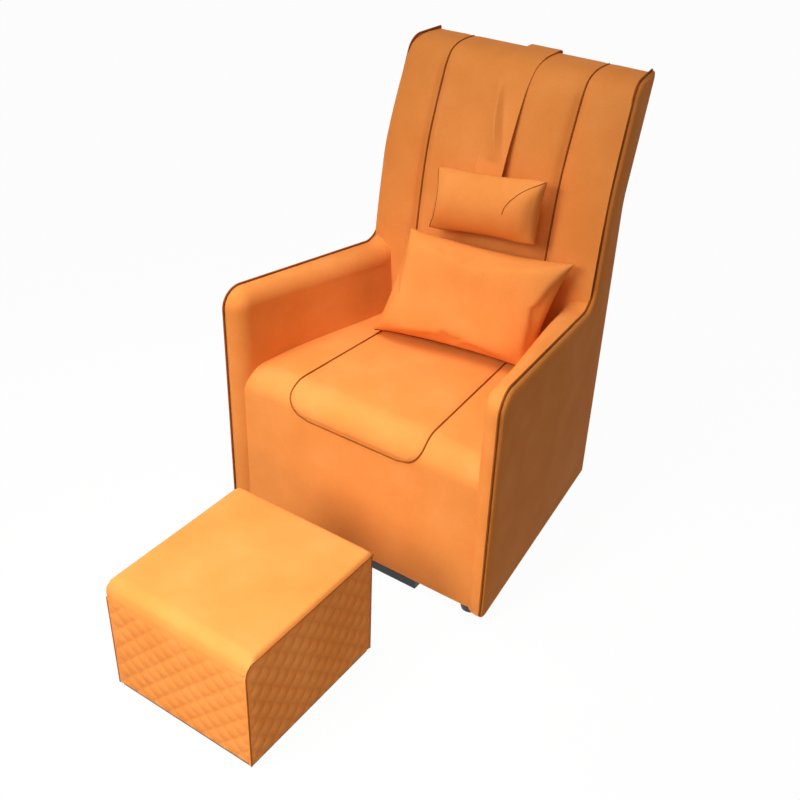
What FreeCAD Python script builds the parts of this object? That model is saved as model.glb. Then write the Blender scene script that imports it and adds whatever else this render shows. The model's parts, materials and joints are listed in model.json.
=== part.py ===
"""Pedicure chair with a loose footstool, a strapped head pillow and a lumbar pillow.

The chair stands with its front towards -Y and +Z up. The origin lies on the floor, in the
middle of the box that holds the chair and its footstool. All lengths are millimetres.
"""
import FreeCAD, Part
import math
import os
import re
import types

from FreeCAD import Rotation, Vector

# Driving dimensions, one cell each
SIZES = {
    # the chair's outer form
    "overall_width": 780.0,
    "overall_height": 1108.0,
    "chair_depth": 764.0,
    "rear_lean": 108.0,
    "rear_bend_radius": 150.0,
    "side_toe_angle": 6.48,
    "arm_height": 638.0,
    "arm_fall": 44.0,
    "arm_setback": 229.0,
    "arm_corner_radius": 48.0,
    "arm_rear_radius": 50.0,
    "shoulder_setback": 202.0,
    "shoulder_radius": 500.0,
    "crest_length": 112.0,
    "crest_radius": 45.0,
    "crest_drop": 4.0,
    "rear_corner_radius": 8.0,
    # clearances
    "fit_clearance": 0.3,
    "cut_overrun": 20.0,
    # sides and arms
    "side_cover_thickness": 14.0,
    "side_cover_edge_radius": 11.0,
    "side_board_thickness": 15.0,
    "side_board_inset": 14.0,
    "side_board_radius": 36.0,
    "arm_pad_thickness": 24.0,
    "arm_pad_edge_radius": 18.0,
    "arm_cover_gap": 35.0,
    "arm_cover_lap": 2.0,
    "arm_leg_depth": 20.0,
    "piping_diameter": 5.0,
    "piping_start_rise": 6.0,
    # seat and apron
    "seat_height": 435.0,
    "seat_setback": 298.0,
    "seat_crown": 22.0,
    "apron_setback": 9.0,
    "waterfall_radius": 62.0,
    "seat_cover_thickness": 12.0,
    "seat_foam_height": 90.0,
    "seat_panel_half_width": 192.0,
    "seat_panel_thickness": 3.0,
    "seat_panel_front_drop": 88.0,
    "seat_panel_rear_gap": 4.0,
    # back pads
    "back_foot_setback": 288.0,
    "back_waist_setback": 240.0,
    "back_mid_setback": 212.0,
    "back_shoulder_setback": 162.0,
    "back_roll_setback": 130.0,
    "back_top_length": 74.0,
    "back_top_drop": 1.0,
    "back_lip_height": 26.0,
    "back_pad_foot_thickness": 64.0,
    "back_pad_waist_thickness": 61.0,
    "back_pad_shoulder_thickness": 58.0,
    "back_pad_top_thickness": 36.0,
    "back_seam_half_width": 186.0,
    "back_seam_draw": 9.0,
    "back_seam_roll": 28.0,
    "back_crown": 8.0,
    "back_side_drop": 34.0,
    "rear_cover_thickness": 12.0,
    # carcass rails
    "rail_thickness": 22.0,
    "front_rail_depth": 26.0,
    "spring_room": 15.0,
    "seat_rear_rail_setback": 264.0,
    "seat_rear_rail_height": 90.0,
    "low_rear_rail_height": 110.0,
    "back_mid_rail_bottom": 560.0,
    "back_mid_rail_height": 60.0,
    "back_top_rail_drop": 76.0,
    "back_top_rail_height": 26.0,
    "batten_width": 60.0,
    "batten_height": 32.0,
    "batten_start": 34.0,
    "batten_setback": 152.0,
    "corner_block_side": 50.0,
    "corner_block_height": 90.0,
    # seat springs and back webbing
    "spring_wire": 3.8,
    "spring_loops": 9.0,
    "spring_half_width": 24.0,
    "spring_count": 5.0,
    "spring_spacing": 108.0,
    "clip_length": 18.0,
    "clip_width": 16.0,
    "clip_height": 6.0,
    "webbing_width": 50.0,
    "webbing_thickness": 3.0,
    "webbing_count": 4.0,
    # feet, plinth and dust cover
    "foot_height": 28.0,
    "foot_top_radius": 28.0,
    "foot_bottom_radius": 23.0,
    "front_foot_depth": 50.0,
    "rear_foot_setback": 182.0,
    "foot_side_inset": 59.0,
    "foot_screw_diameter": 5.0,
    "foot_screw_head_diameter": 10.0,
    "foot_screw_head_height": 4.0,
    "foot_screw_bite": 22.0,
    "plinth_half_width": 186.0,
    "plinth_depth": 44.0,
    "plinth_front": 12.0,
    "dust_cover_thickness": 2.0,
    # strap, head pillow and counterweight
    "strap_side": 14.0,
    "strap_width": 80.0,
    "strap_thickness": 2.5,
    "strap_rear_length": 150.0,
    "weight_width": 84.0,
    "weight_height": 110.0,
    "weight_depth": 30.0,
    "head_pillow_width": 306.0,
    "head_pillow_height": 158.0,
    "head_pillow_thickness": 72.0,
    "head_pillow_side": 34.0,
    "head_pillow_standoff": 38.4,
    "head_pillow_above": 219.4,
    "head_pillow_lean": 13.0,
    "head_pillow_roll": 7.0,
    # lumbar pillow
    "lumbar_width": 412.0,
    "lumbar_height": 282.0,
    "lumbar_thickness": 116.0,
    "lumbar_side": 36.0,
    "lumbar_standoff": 81.4,
    "lumbar_lift": 135.6,
    "lumbar_lean": 15.0,
    "lumbar_yaw": 9.0,
    "lumbar_roll": 0.0,
    "lumbar_slump": 76.0,
    "pillow_cover_thickness": 4.0,
    # footstool
    "stool_width": 381.0,
    "stool_depth": 406.0,
    "stool_height": 306.0,
    "stool_side": 32.0,
    "stool_gap": 216.0,
    "stool_quilt_thickness": 12.0,
    "stool_quilt_puff": 4.0,
    "stool_quilt_columns": 8.0,
    "stool_quilt_rows": 7.0,
    "stool_board_thickness": 15.0,
    "stool_top_board_thickness": 12.0,
    "stool_foam_thickness": 34.0,
    "stool_top_cover_thickness": 8.0,
    "stool_top_crown": 9.0,
    "stool_top_edge": 4.0,
    "stool_foam_inset": 20.0,
    "stool_top_radius": 16.0,
    "stool_plinth_rise": 3.0,
    "stool_plinth_height": 10.0,
    "stool_plinth_inset": 8.0,
    "stool_glide_radius": 14.0,
    "stool_glide_inset": 46.0,
    "stool_screw_diameter": 4.0,
    "stool_screw_head_diameter": 8.0,
    "stool_screw_head_height": 2.5,
    "stool_screw_length": 24.0,
    "stool_screw_inset": 100.0,
    "seam_cord_diameter": 3.0,
}

# Shares of the chair's height, of the back above the arms and of the back above its foot
SHARES = {
    "rear_bend_share": 0.75,
    "shoulder_share": 0.498,
    "back_waist_share": 0.5177,
    "back_mid_share": 0.7143,
    "back_shoulder_share": 0.9004,
    "back_roll_share": 0.969,
    "webbing_first_share": 0.387,
    "webbing_step_share": 0.115,
}

# Sizes that follow from the driving ones
DERIVED = {
    "rear_depth": "chair_depth - rear_lean",
    "rear_bend_height": "overall_height * rear_bend_share",
    "arm_rear_height": "arm_height - arm_fall",
    "arm_length": "chair_depth - arm_setback",
    "arm_cover_length": "arm_length - arm_cover_gap",
    "shoulder_depth": "chair_depth - shoulder_setback",
    "shoulder_height": "arm_rear_height + (overall_height - arm_rear_height) * shoulder_share",
    "crest_depth": "chair_depth - crest_length",
    "seat_rear": "chair_depth - seat_setback",
    "seat_foam_bottom": "seat_height - seat_foam_height",
    "spring_rail_height": "seat_foam_bottom - spring_room",
    "arm_cover_low_edge": "spring_rail_height + arm_cover_lap",
    "seat_rear_rail_depth": "chair_depth - seat_rear_rail_setback",
    "seat_rear_rail_bottom": "spring_rail_height - seat_rear_rail_height",
    "back_foot_depth": "chair_depth - back_foot_setback",
    "back_waist_depth": "chair_depth - back_waist_setback",
    "back_mid_depth": "chair_depth - back_mid_setback",
    "back_shoulder_depth": "chair_depth - back_shoulder_setback",
    "back_roll_depth": "chair_depth - back_roll_setback",
    "back_top_depth": "chair_depth - back_top_length",
    "back_rise": "overall_height - seat_foam_bottom",
    "back_waist_height": "seat_foam_bottom + back_rise * back_waist_share",
    "back_mid_height": "seat_foam_bottom + back_rise * back_mid_share",
    "back_shoulder_height": "seat_foam_bottom + back_rise * back_shoulder_share",
    "back_roll_height": "seat_foam_bottom + back_rise * back_roll_share",
    "webbing_first_height": "seat_foam_bottom + back_rise * webbing_first_share",
    "webbing_spacing": "back_rise * webbing_step_share",
    "rear_slope": "rear_lean / (overall_height - rear_bend_height)",
    "back_top_rail_bottom": "overall_height - back_top_rail_drop",
    "back_top_rail_rear": "rear_depth + rear_slope * (back_top_rail_bottom - rear_bend_height)",
    "back_top_rail_depth": "back_top_rail_rear - rear_cover_thickness - rail_thickness - fit_clearance",
    "batten_end": "chair_depth - batten_setback",
    "rear_foot_depth": "chair_depth - rear_foot_setback",
    "lumbar_rise": "seat_height + lumbar_lift",
    "head_pillow_rise": "lumbar_rise + head_pillow_above",
}

# Shares of a pillow's outline at heights through its thickness, seam in the middle
PILLOW_LEVEL_SHARES = (-1.0, -0.8, -0.45, 0.0, 0.45, 0.8, 1.0)
PILLOW_SPREAD_SHARES = (0.34, 0.66, 0.89, 1.0, 0.89, 0.66, 0.34)
PILLOW_DRAW_SHARES = (-0.10, -0.06, -0.01, 0.035, -0.01, -0.06, -0.10)

# Shares of the seat's half width and of its crown, from the left arm to the right one
SEAT_EDGE_SHARE = 0.9
SEAT_EDGE_DROP_SHARE = 0.3
SEAT_PANEL_DROP_SHARE = 0.08

# How much of a back pad's set-back it also sinks by along its top
BACK_TOP_SINK_SHARE = 0.25

# Where a spring's bends lie along one of its loops, and their radius as a share of half a loop
SPRING_BEND_SHARES = (0.25, 0.75)
SPRING_RADIUS_SHARE = 0.45

# Shares of the top cover's inset at its crowned top
STOOL_CROWN_INSET_SHARES = (0.0, 0.0, 0.03, 0.14)
STOOL_CROWN_RISE_SHARES = (0.0, 0.35, 0.75, 1.0)

# How exactly a shape is offset by a clearance
OFFSET_TOLERANCE_SHARE = 0.1

LEFT = -1
RIGHT = 1

doc = FreeCAD.newDocument("PedicureChair")
sheet = doc.addObject("Spreadsheet::Sheet", "Sizes")
cells = {**SIZES, **SHARES, **{alias: "=" + formula for alias, formula in DERIVED.items()}}
for row, (alias, value) in enumerate(cells.items(), start=1):
    sheet.set(f"A{row}", alias)
    sheet.set(f"B{row}", str(value))
    sheet.setAlias(f"B{row}", alias)
doc.recompute()
s = types.SimpleNamespace(**{alias: float(sheet.get(alias)) for alias in cells})

ALIAS = re.compile(r"\b(" + "|".join(cells) + r")\b")
REACH = "(chair_depth + fit_clearance + (strap_thickness + weight_depth) / 2)"
FRONT = f"((stool_depth + stool_gap - {REACH}) / 2)"
reach = s.chair_depth + s.fit_clearance + (s.strap_thickness + s.weight_depth) / 2
front_y = (s.stool_depth + s.stool_gap - reach) / 2
toe = math.radians(s.side_toe_angle)
sub_parts = []


def bind(item, **expressions):
    """Tie properties of an object to cells of the sheet; a double underscore stands for a dot."""
    for name, text in expressions.items():
        item.setExpression(name.replace("__", "."), ALIAS.sub(r"Sizes.\1", text))


def keep(item, label):
    """Name an object as one of the sub-parts."""
    item.Label = label
    sub_parts.append(item)
    return item


def place_in_chair(item):
    """Move an object that is drawn from the arm fronts to the chair's place."""
    bind(item, Placement__Base__y=FRONT)
    return item


def solid_part(label, shape, in_chair=True):
    """A sub-part whose form is worked out from the sheet's sizes."""
    item = doc.addObject("Part::Feature", label)
    item.Shape = shape
    if in_chair:
        place_in_chair(item)
    return keep(item, label)


def box(name, length, width, height, x="0", y="0", z="0"):
    """A board between bound sizes, with its lowest corner at bound places."""
    item = doc.addObject("Part::Box", name)
    bind(item, Length=length, Width=width, Height=height)
    bind(item, Placement__Base__x=x, Placement__Base__y=y, Placement__Base__z=z)
    return item


def cylinder(name, radius, height, x="0", y="0", z="0"):
    """An upright round bar of bound size."""
    item = doc.addObject("Part::Cylinder", name)
    bind(item, Radius=radius, Height=height)
    bind(item, Placement__Base__x=x, Placement__Base__y=y, Placement__Base__z=z)
    return item


def cut(label, base, tools):
    """A sub-part with tools cut out of it."""
    item = doc.addObject("Part::Cut", label)
    item.Base = base
    if len(tools) == 1:
        item.Tool = tools[0]
    else:
        joined = doc.addObject("Part::MultiFuse", label + "_tools")
        joined.Shapes = tools
        item.Tool = joined
    return keep(item, label)


def group(label, members):
    """Like pieces that share one node as separate solids."""
    item = doc.addObject("Part::Compound", label)
    item.Links = members
    return keep(item, label)


def rounded(corners, closed=True):
    """Lines (two points) and arcs (three points) of an outline with rounded corners.

    Each corner is a pair of places and a radius.
    """
    count = len(corners)
    joints = []
    for index, (across, up, radius) in enumerate(corners):
        here = Vector(across, up, 0)
        inner = closed or 0 < index < count - 1
        if not inner or radius == 0:
            joints.append((here, None, here))
            continue
        before = Vector(*corners[index - 1][:2], 0) - here
        after = Vector(*corners[(index + 1) % count][:2], 0) - here
        before.normalize()
        after.normalize()
        half = before.getAngle(after) / 2
        reach = radius / math.tan(half)
        middle = before + after
        middle.normalize()
        bulge = radius / math.sin(half) - radius
        joints.append((here + before * reach, here + middle * bulge, here + after * reach))
    pieces = []
    for index, (start, middle, end) in enumerate(joints):
        if middle is not None:
            pieces.append((start, middle, end))
        if closed or index < count - 1:
            pieces.append((end, joints[(index + 1) % count][0]))
    return pieces


def wire(pieces, where):
    """A wire through lines and arcs, each flat point put in space by where(across, up)."""
    edges = []
    for piece in pieces:
        points = [where(point.x, point.y) for point in piece]
        if len(points) == 2:
            edges.append(Part.makeLine(*points))
        else:
            edges.append(Part.Arc(*points).toShape())
    return Part.Wire(edges)


def loft(wires):
    """A closed solid ruled through wires of like make."""
    return Part.makeLoft(wires, True, True)


def side_frame(side):
    """The placement of a side: its local Y runs along the outer face and X across it."""
    turn = Rotation(Vector(0, 0, 1), side * s.side_toe_angle)
    return FreeCAD.Placement(Vector(side * s.overall_width / 2, 0, 0), turn)


def side_prism(side, pieces, outer, inner):
    """An outline in a side's own plane, from outer to inner depth below its face."""
    face = Part.Face(wire(pieces, lambda along, up: Vector(-side * outer, along, up)))
    prism = face.extrude(Vector(side * (outer - inner), 0, 0))
    prism.Placement = side_frame(side)
    return prism


def inner_half_width(depth, below_face):
    """Half the chair's width at a depth, measured below_face inside the outer faces."""
    return s.overall_width / 2 - math.tan(toe) * depth - below_face / math.cos(toe)


# Outlines of the sides

arm_total = s.side_cover_thickness + s.side_board_thickness + s.arm_pad_thickness
board_inner = s.side_cover_thickness + s.side_board_thickness


def arm_line(depth):
    """Height of the arm's top at a depth."""
    return s.arm_height + (s.arm_rear_height - s.arm_height) * depth / s.arm_length


def rear_line(height):
    """Depth of the chair's rear face at a height."""
    return s.rear_depth + s.rear_slope * max(height - s.rear_bend_height, 0)


def along_side(corners):
    """Corners with their depth measured along the slanted side instead of straight back."""
    return [(depth / math.cos(toe), up, radius) for depth, up, radius in corners]


SIDE_FRONT = [
    (0, s.foot_height, 0),
    (0, s.arm_height, s.arm_corner_radius),
    (s.arm_length, s.arm_rear_height, s.arm_rear_radius),
    (s.shoulder_depth, s.shoulder_height, s.shoulder_radius),
    (s.crest_depth, s.overall_height - s.crest_drop, s.crest_radius),
    (s.chair_depth, s.overall_height, s.rear_corner_radius),
]
SIDE_REAR = [
    (s.rear_depth, s.rear_bend_height, s.rear_bend_radius),
    (s.rear_depth, s.foot_height, 0),
]
side_outline = rounded(along_side(SIDE_FRONT + SIDE_REAR))

# Rear face of the back pads, which the side boards and the webbing follow
pad_rear = [
    (s.back_foot_depth + s.back_pad_foot_thickness, s.seat_foam_bottom),
    (s.back_waist_depth + s.back_pad_waist_thickness, s.back_waist_height),
    (s.back_shoulder_depth + s.back_pad_shoulder_thickness, s.back_shoulder_height),
    (s.back_top_depth + s.back_lip_height, s.overall_height - s.back_pad_top_thickness),
]
lip_height = s.overall_height - s.back_pad_top_thickness
lip_depth = rear_line(lip_height) - s.rear_cover_thickness


def pad_rear_line(height):
    """Depth of the back pads' rear face at a height."""
    for (low_depth, low), (high_depth, high) in zip(pad_rear, pad_rear[1:]):
        if height <= high:
            return low_depth + (high_depth - low_depth) * (height - low) / (high - low)
    return pad_rear[-1][0]


board_top = s.arm_rear_height - s.side_board_inset
gap = s.fit_clearance
board_outline = rounded(along_side([
    (s.side_board_inset, s.foot_height, 0),
    (s.side_board_inset, s.arm_height - s.side_board_inset, s.side_board_radius),
    (pad_rear_line(board_top) + gap, board_top, 0),
    (pad_rear[1][0] + gap, pad_rear[1][1], 0),
    (pad_rear[2][0] + gap, pad_rear[2][1], 0),
    (pad_rear[3][0], lip_height - gap, 0),
    (lip_depth - gap, lip_height - gap, 0),
    (s.rear_depth - s.rear_cover_thickness - gap, s.rear_bend_height, 0),
    (s.rear_depth - s.rear_cover_thickness - gap, s.foot_height, 0),
]))


def sketched_plate(label, side, pieces, thickness):
    """A flat plate drawn in a sketch and padded inwards from a side's outer face."""
    body = doc.addObject("PartDesign::Body", label + "_body")
    plane = [item for item in body.Origin.OriginFeatures if item.Role == "YZ_Plane"][0]
    sketch = body.newObject("Sketcher::SketchObject", label + "_outline")
    sketch.AttachmentSupport = [(plane, "")]
    sketch.MapMode = "FlatFace"
    for piece in pieces:
        if len(piece) == 2:
            sketch.addGeometry(Part.LineSegment(*piece))
        else:
            sketch.addGeometry(Part.Arc(*piece))
    pad = body.newObject("PartDesign::Pad", label + "_pad")
    pad.Profile = sketch
    pad.Reversed = side == RIGHT
    bind(pad, Length=thickness)
    doc.recompute()
    bind(body, Placement__Base__x=f"{side} * overall_width / 2", Placement__Base__y=FRONT)
    body.Placement.Rotation = Rotation(Vector(0, 0, 1), s.side_toe_angle)
    bind(body, Placement__Rotation__Angle=f"{side} * side_toe_angle")
    return keep(body, label), pad


def side_cover(side, label):
    """The upholstered outer panel of a side, with a soft rounded front and top edge."""
    body, pad = sketched_plate(label, side, side_outline, "side_cover_thickness")
    soft = []
    for number, edge in enumerate(pad.Shape.Edges, start=1):
        on_face = all(abs(vertex.X) < s.fit_clearance for vertex in edge.Vertexes)
        low = all(abs(vertex.Z - s.foot_height) < s.fit_clearance for vertex in edge.Vertexes)
        if on_face and not low:
            soft.append(f"Edge{number}")
    fillet = body.newObject("PartDesign::Fillet", label + "_edge")
    fillet.Base = (pad, soft)
    bind(fillet, Radius="side_cover_edge_radius")
    body.Tip = fillet
    return body


def side_board(side, label):
    """The plywood board that carries one side, arm and back in one piece."""
    return solid_part(label, side_prism(side, board_outline, s.side_cover_thickness, board_inner))


def arm_shape(side):
    """The padded inner arm that wraps the board's front and top edges, before the board's cut."""
    corners = [
        (0, s.foot_height, 0),
        (0, s.arm_height, s.arm_corner_radius),
        (s.arm_cover_length, arm_line(s.arm_cover_length), 0),
        (s.arm_cover_length, s.arm_cover_low_edge, 0),
        (s.arm_leg_depth, s.arm_cover_low_edge, 0),
        (s.arm_leg_depth, s.foot_height, 0),
    ]
    return side_prism(side, rounded(along_side(corners)), s.side_cover_thickness, arm_total)


def arm_cover(side, label):
    """One inner arm with its soft inner edge."""
    shape = arm_shape(side)
    frame = side_frame(side).inverse()
    soft = []
    for edge in shape.Edges:
        ends = [frame.multVec(vertex.Point) for vertex in edge.Vertexes]
        on_face = all(abs(end.x + side * arm_total) < s.fit_clearance for end in ends)
        front = all(abs(end.y) < s.fit_clearance for end in ends)
        top = all(end.z > s.arm_rear_height for end in ends)
        if on_face and (front or top):
            soft.append(edge)
    shape = shape.makeFillet(s.arm_pad_edge_radius, soft)
    board = side_prism(side, board_outline, 0, board_inner + s.fit_clearance)
    return solid_part(label, shape.cut(board))


def side_piping(side, label):
    """The welt cord laid over the joint between a side cover and the arm and back pads."""
    radius = s.piping_diameter / 2
    lift = radius + s.fit_clearance
    corners = [
        (-lift, s.foot_height + s.piping_start_rise, 0),
        (-lift, s.arm_height + lift, s.arm_corner_radius + lift),
        (s.arm_length - lift, s.arm_rear_height + lift, s.arm_rear_radius - lift),
        (s.shoulder_depth - lift, s.shoulder_height, s.shoulder_radius),
        (s.crest_depth - lift, s.overall_height - s.crest_drop + lift, s.crest_radius + lift),
        (s.chair_depth - s.piping_start_rise, s.overall_height + lift, 0),
    ]
    across = -side * s.side_cover_thickness
    corners = along_side(corners)
    path = wire(rounded(corners, closed=False), lambda along, up: Vector(across, along, up))
    start = Vector(across, corners[0][0], corners[0][1])
    ring = Part.Wire(Part.makeCircle(radius, start, Vector(0, 0, 1)))
    shape = path.makePipeShell([ring], True, False)
    shape.Placement = side_frame(side)
    return solid_part(label, shape)


for side, word in ((LEFT, "left"), (RIGHT, "right")):
    side_cover(side, f"{word}_side_cover")
    side_board(side, f"{word}_side_board")
    arm_cover(side, f"{word}_arm_cover")
    side_piping(side, f"{word}_side_piping")


# Seat, apron and foam: bands lofted from one arm to the other

def seat_section(share, drop, outer, inner_depth, rear, low):
    """A closed seat profile on the slanted plane at a share of the seat's half width.

    outer is how far its skin stands off the seat cover's face, inner_depth its thickness.
    """
    front = s.apron_setback - outer
    top = s.seat_height - drop + outer
    radius = s.waterfall_radius + outer
    inner_front = front + inner_depth
    inner_top = top - inner_depth
    inner_radius = radius - inner_depth
    corners = [
        (front, low, 0),
        (front, top, radius),
        (rear, top, 0),
        (rear, inner_top, 0),
        (inner_front, inner_top, inner_radius),
        (inner_front, low, 0),
    ]
    below = arm_total + s.fit_clearance
    return wire(rounded(corners), lambda depth, up: Vector(
        share * inner_half_width(depth, below), depth, up))


panel_share = s.seat_panel_half_width / inner_half_width(s.apron_setback, arm_total)
SEAT_STATIONS = [
    (-1.0, s.seat_crown),
    (-SEAT_EDGE_SHARE, s.seat_crown * SEAT_EDGE_DROP_SHARE),
    (-panel_share, s.seat_crown * SEAT_PANEL_DROP_SHARE),
    (0.0, 0.0),
    (panel_share, s.seat_crown * SEAT_PANEL_DROP_SHARE),
    (SEAT_EDGE_SHARE, s.seat_crown * SEAT_EDGE_DROP_SHARE),
    (1.0, s.seat_crown),
]
solid_part("seat_cover", loft([
    seat_section(share, drop, 0, s.seat_cover_thickness, s.seat_rear, s.foot_height)
    for share, drop in SEAT_STATIONS
]))
panel_low = s.seat_height - s.seat_panel_front_drop
solid_part("seat_panel", loft([
    seat_section(share, drop, s.seat_panel_thickness + s.fit_clearance, s.seat_panel_thickness,
                 s.seat_rear - s.seat_panel_rear_gap, panel_low)
    for share, drop in SEAT_STATIONS[2:5]
]))


def foam_section(share, drop):
    """The foam's profile inside the seat cover, flat where it lies on the springs."""
    front = s.apron_setback + s.seat_cover_thickness + s.fit_clearance
    top = s.seat_height - drop - s.seat_cover_thickness - s.fit_clearance
    radius = s.waterfall_radius - s.seat_cover_thickness
    corners = [
        (front, s.seat_foam_bottom, 0),
        (front, top, min(radius, top - s.seat_foam_bottom - s.fit_clearance)),
        (s.seat_rear, top, 0),
        (s.seat_rear, s.seat_foam_bottom, 0),
    ]
    below = arm_total + s.fit_clearance
    return wire(rounded(corners), lambda depth, up: Vector(
        share * inner_half_width(depth, below), depth, up))


solid_part("seat_foam", loft([foam_section(share, drop) for share, drop in SEAT_STATIONS]))


# Back pads: three upright channels, drawn in at their seams

def back_face(forward):
    """Points of a back pad's front line, from the seat over the roll to the rear edge."""
    top = s.overall_height
    sink = BACK_TOP_SINK_SHARE * max(-forward, 0)
    return [
        Vector(s.back_foot_depth - forward, s.seat_foam_bottom, 0),
        Vector(s.back_waist_depth - forward, s.back_waist_height, 0),
        Vector(s.back_mid_depth - forward, s.back_mid_height, 0),
        Vector(s.back_shoulder_depth - forward, s.back_shoulder_height, 0),
        Vector(s.back_roll_depth - forward / 2, s.back_roll_height, 0),
        Vector(s.back_top_depth, top - s.back_top_drop - sink, 0),
        Vector(rear_line(top - sink) - s.rear_cover_thickness, top - sink, 0),
    ]


def back_section(where, forward):
    """A back pad's closed profile, its face moved forward by an amount."""
    face = back_face(forward)
    rear = [Vector(lip_depth, lip_height, 0)]
    rear += [Vector(depth, height, 0) for depth, height in reversed(pad_rear)]
    pieces = [
        (face[0], face[1]),
        (face[1], face[2], face[3]),
        (face[3], face[4], face[5]),
        (face[5], face[6]),
        (face[6], rear[0]),
    ]
    pieces += list(zip(rear, rear[1:]))
    pieces.append((rear[-1], face[0]))
    return wire(pieces, where)


def middle_plane(across):
    """An upright plane at a distance from the middle."""
    return lambda depth, up: Vector(across, depth, up)


def outer_plane(side, share):
    """A slanted plane between a seam and the side cover."""
    below = s.side_cover_thickness + s.fit_clearance
    start = s.back_seam_half_width

    def where(depth, up):
        """A point of the plane at a depth and height."""
        reach = inner_half_width(depth, below)
        return Vector(side * (start + (reach - start) * share), depth, up)
    return where


seam_edge = s.back_seam_half_width - s.fit_clearance / 2
roll_edge = s.back_seam_half_width - s.back_seam_roll
solid_part("back_pad_center", loft([
    back_section(middle_plane(across), forward) for across, forward in (
        (-seam_edge, -s.back_seam_draw), (-roll_edge, 0), (0, s.back_crown),
        (roll_edge, 0), (seam_edge, -s.back_seam_draw))
]))
side_span = inner_half_width(s.back_mid_depth, s.side_cover_thickness) - s.back_seam_half_width
seam_share = s.fit_clearance / 2 / side_span
roll_share = s.back_seam_roll / side_span
for side, word in ((LEFT, "left"), (RIGHT, "right")):
    pad = loft([
        back_section(outer_plane(side, share), forward) for share, forward in (
            (seam_share, -s.back_seam_draw), (roll_share, 0),
            (1 - roll_share, (s.back_seam_draw - s.back_side_drop) / 2), (1.0, -s.back_side_drop))
    ])
    board = side_prism(side, board_outline, 0, board_inner + s.fit_clearance)
    arm = arm_shape(side).makeOffsetShape(s.fit_clearance, s.fit_clearance * OFFSET_TOLERANCE_SHARE, join=2)
    rest = pad.cut(board).cut(arm)
    largest = max(rest.Solids, key=lambda solid: solid.Volume)
    solid_part(f"back_pad_{word}", largest)


def rear_section(side):
    """The outer back panel's profile at one side."""
    thickness = s.rear_cover_thickness
    bend = s.rear_bend_height
    corners = [
        (s.rear_depth, s.foot_height, 0),
        (s.rear_depth, bend, 0),
        (rear_line(s.overall_height), s.overall_height, 0),
        (rear_line(s.overall_height) - thickness + s.fit_clearance, s.overall_height, 0),
        (s.rear_depth - thickness + s.fit_clearance, bend, 0),
        (s.rear_depth - thickness + s.fit_clearance, s.foot_height, 0),
    ]
    below = s.side_cover_thickness + s.fit_clearance
    return wire(rounded(corners), lambda depth, up: Vector(
        side * inner_half_width(depth, below), depth, up))


solid_part("rear_cover", loft([rear_section(LEFT), rear_section(RIGHT)]))


# Carcass rails, battens and blocks

def rail(label, depth, low, height):
    """A cross rail between the side boards, as long as its rear edge leaves room for."""
    far = f"({depth} + rail_thickness)"
    boards = "(side_cover_thickness + side_board_thickness + fit_clearance)"
    half = f"(overall_width / 2 - tan(side_toe_angle) * {far} - {boards} / cos(side_toe_angle))"
    item = box(label, f"2 * {half}", "rail_thickness", height, f"-{half}", f"{FRONT} + {depth}", low)
    return keep(item, label)


BATTEN_TOP = "(foot_height + dust_cover_thickness + batten_height)"
rail("front_rail", "front_rail_depth", BATTEN_TOP, f"spring_rail_height - {BATTEN_TOP}")
rail("seat_rear_rail", "seat_rear_rail_depth", "seat_rear_rail_bottom",
     "spring_rail_height - seat_rear_rail_bottom")
rail("lower_rear_rail", "(rear_depth - rear_cover_thickness - rail_thickness)", "foot_height",
     "low_rear_rail_height")
rail("back_middle_rail", "(rear_depth - rear_cover_thickness - rail_thickness)",
     "back_mid_rail_bottom", "back_mid_rail_height")
rail("back_top_rail", "back_top_rail_depth", "back_top_rail_bottom", "back_top_rail_height")


def side_block(side, along, length, low, height, width):
    """A timber laid along the inside of a side board."""
    outer = board_inner + s.fit_clearance
    corners = [(along, low, 0), (along + length, low, 0), (along + length, low + height, 0),
               (along, low + height, 0)]
    return side_prism(side, rounded(corners), outer, outer + width)


def foot_place(side, along):
    """Where a foot's axis stands, in the chair's own frame."""
    local = Vector(-side * s.foot_side_inset, along, 0)
    return side_frame(side).multVec(local)


FEET = [
    ("front_left_foot", LEFT, s.front_foot_depth),
    ("front_right_foot", RIGHT, s.front_foot_depth),
    ("rear_left_foot", LEFT, s.rear_foot_depth),
    ("rear_right_foot", RIGHT, s.rear_foot_depth),
]
for side, word in ((LEFT, "left"), (RIGHT, "right")):
    timber = side_block(side, s.batten_start, s.batten_end - s.batten_start,
                        s.foot_height + s.dust_cover_thickness, s.batten_height, s.batten_width)
    for name, foot_side, along in FEET:
        if foot_side == side:
            bore = Part.makeCylinder((s.foot_screw_diameter + s.fit_clearance) / 2,
                                     s.foot_height + s.batten_height + s.cut_overrun,
                                     foot_place(side, along))
            timber = timber.cut(bore)
    solid_part(f"{word}_batten", timber)

blocks = []
block_low = s.spring_rail_height - s.corner_block_height
block_near = board_inner + gap
block_far = block_near + s.corner_block_side
front_start = s.front_rail_depth + s.rail_thickness + gap + block_far * math.sin(toe)
rear_end = s.seat_rear_rail_depth - gap + block_near * math.sin(toe)
for side in (LEFT, RIGHT):
    for start in (front_start / math.cos(toe), rear_end / math.cos(toe) - s.corner_block_side):
        blocks.append(side_block(side, start, s.corner_block_side, block_low,
                                 s.corner_block_height, s.corner_block_side))
solid_part("corner_blocks", Part.makeCompound(blocks))


# Seat springs, their clips and the back webbing

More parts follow.
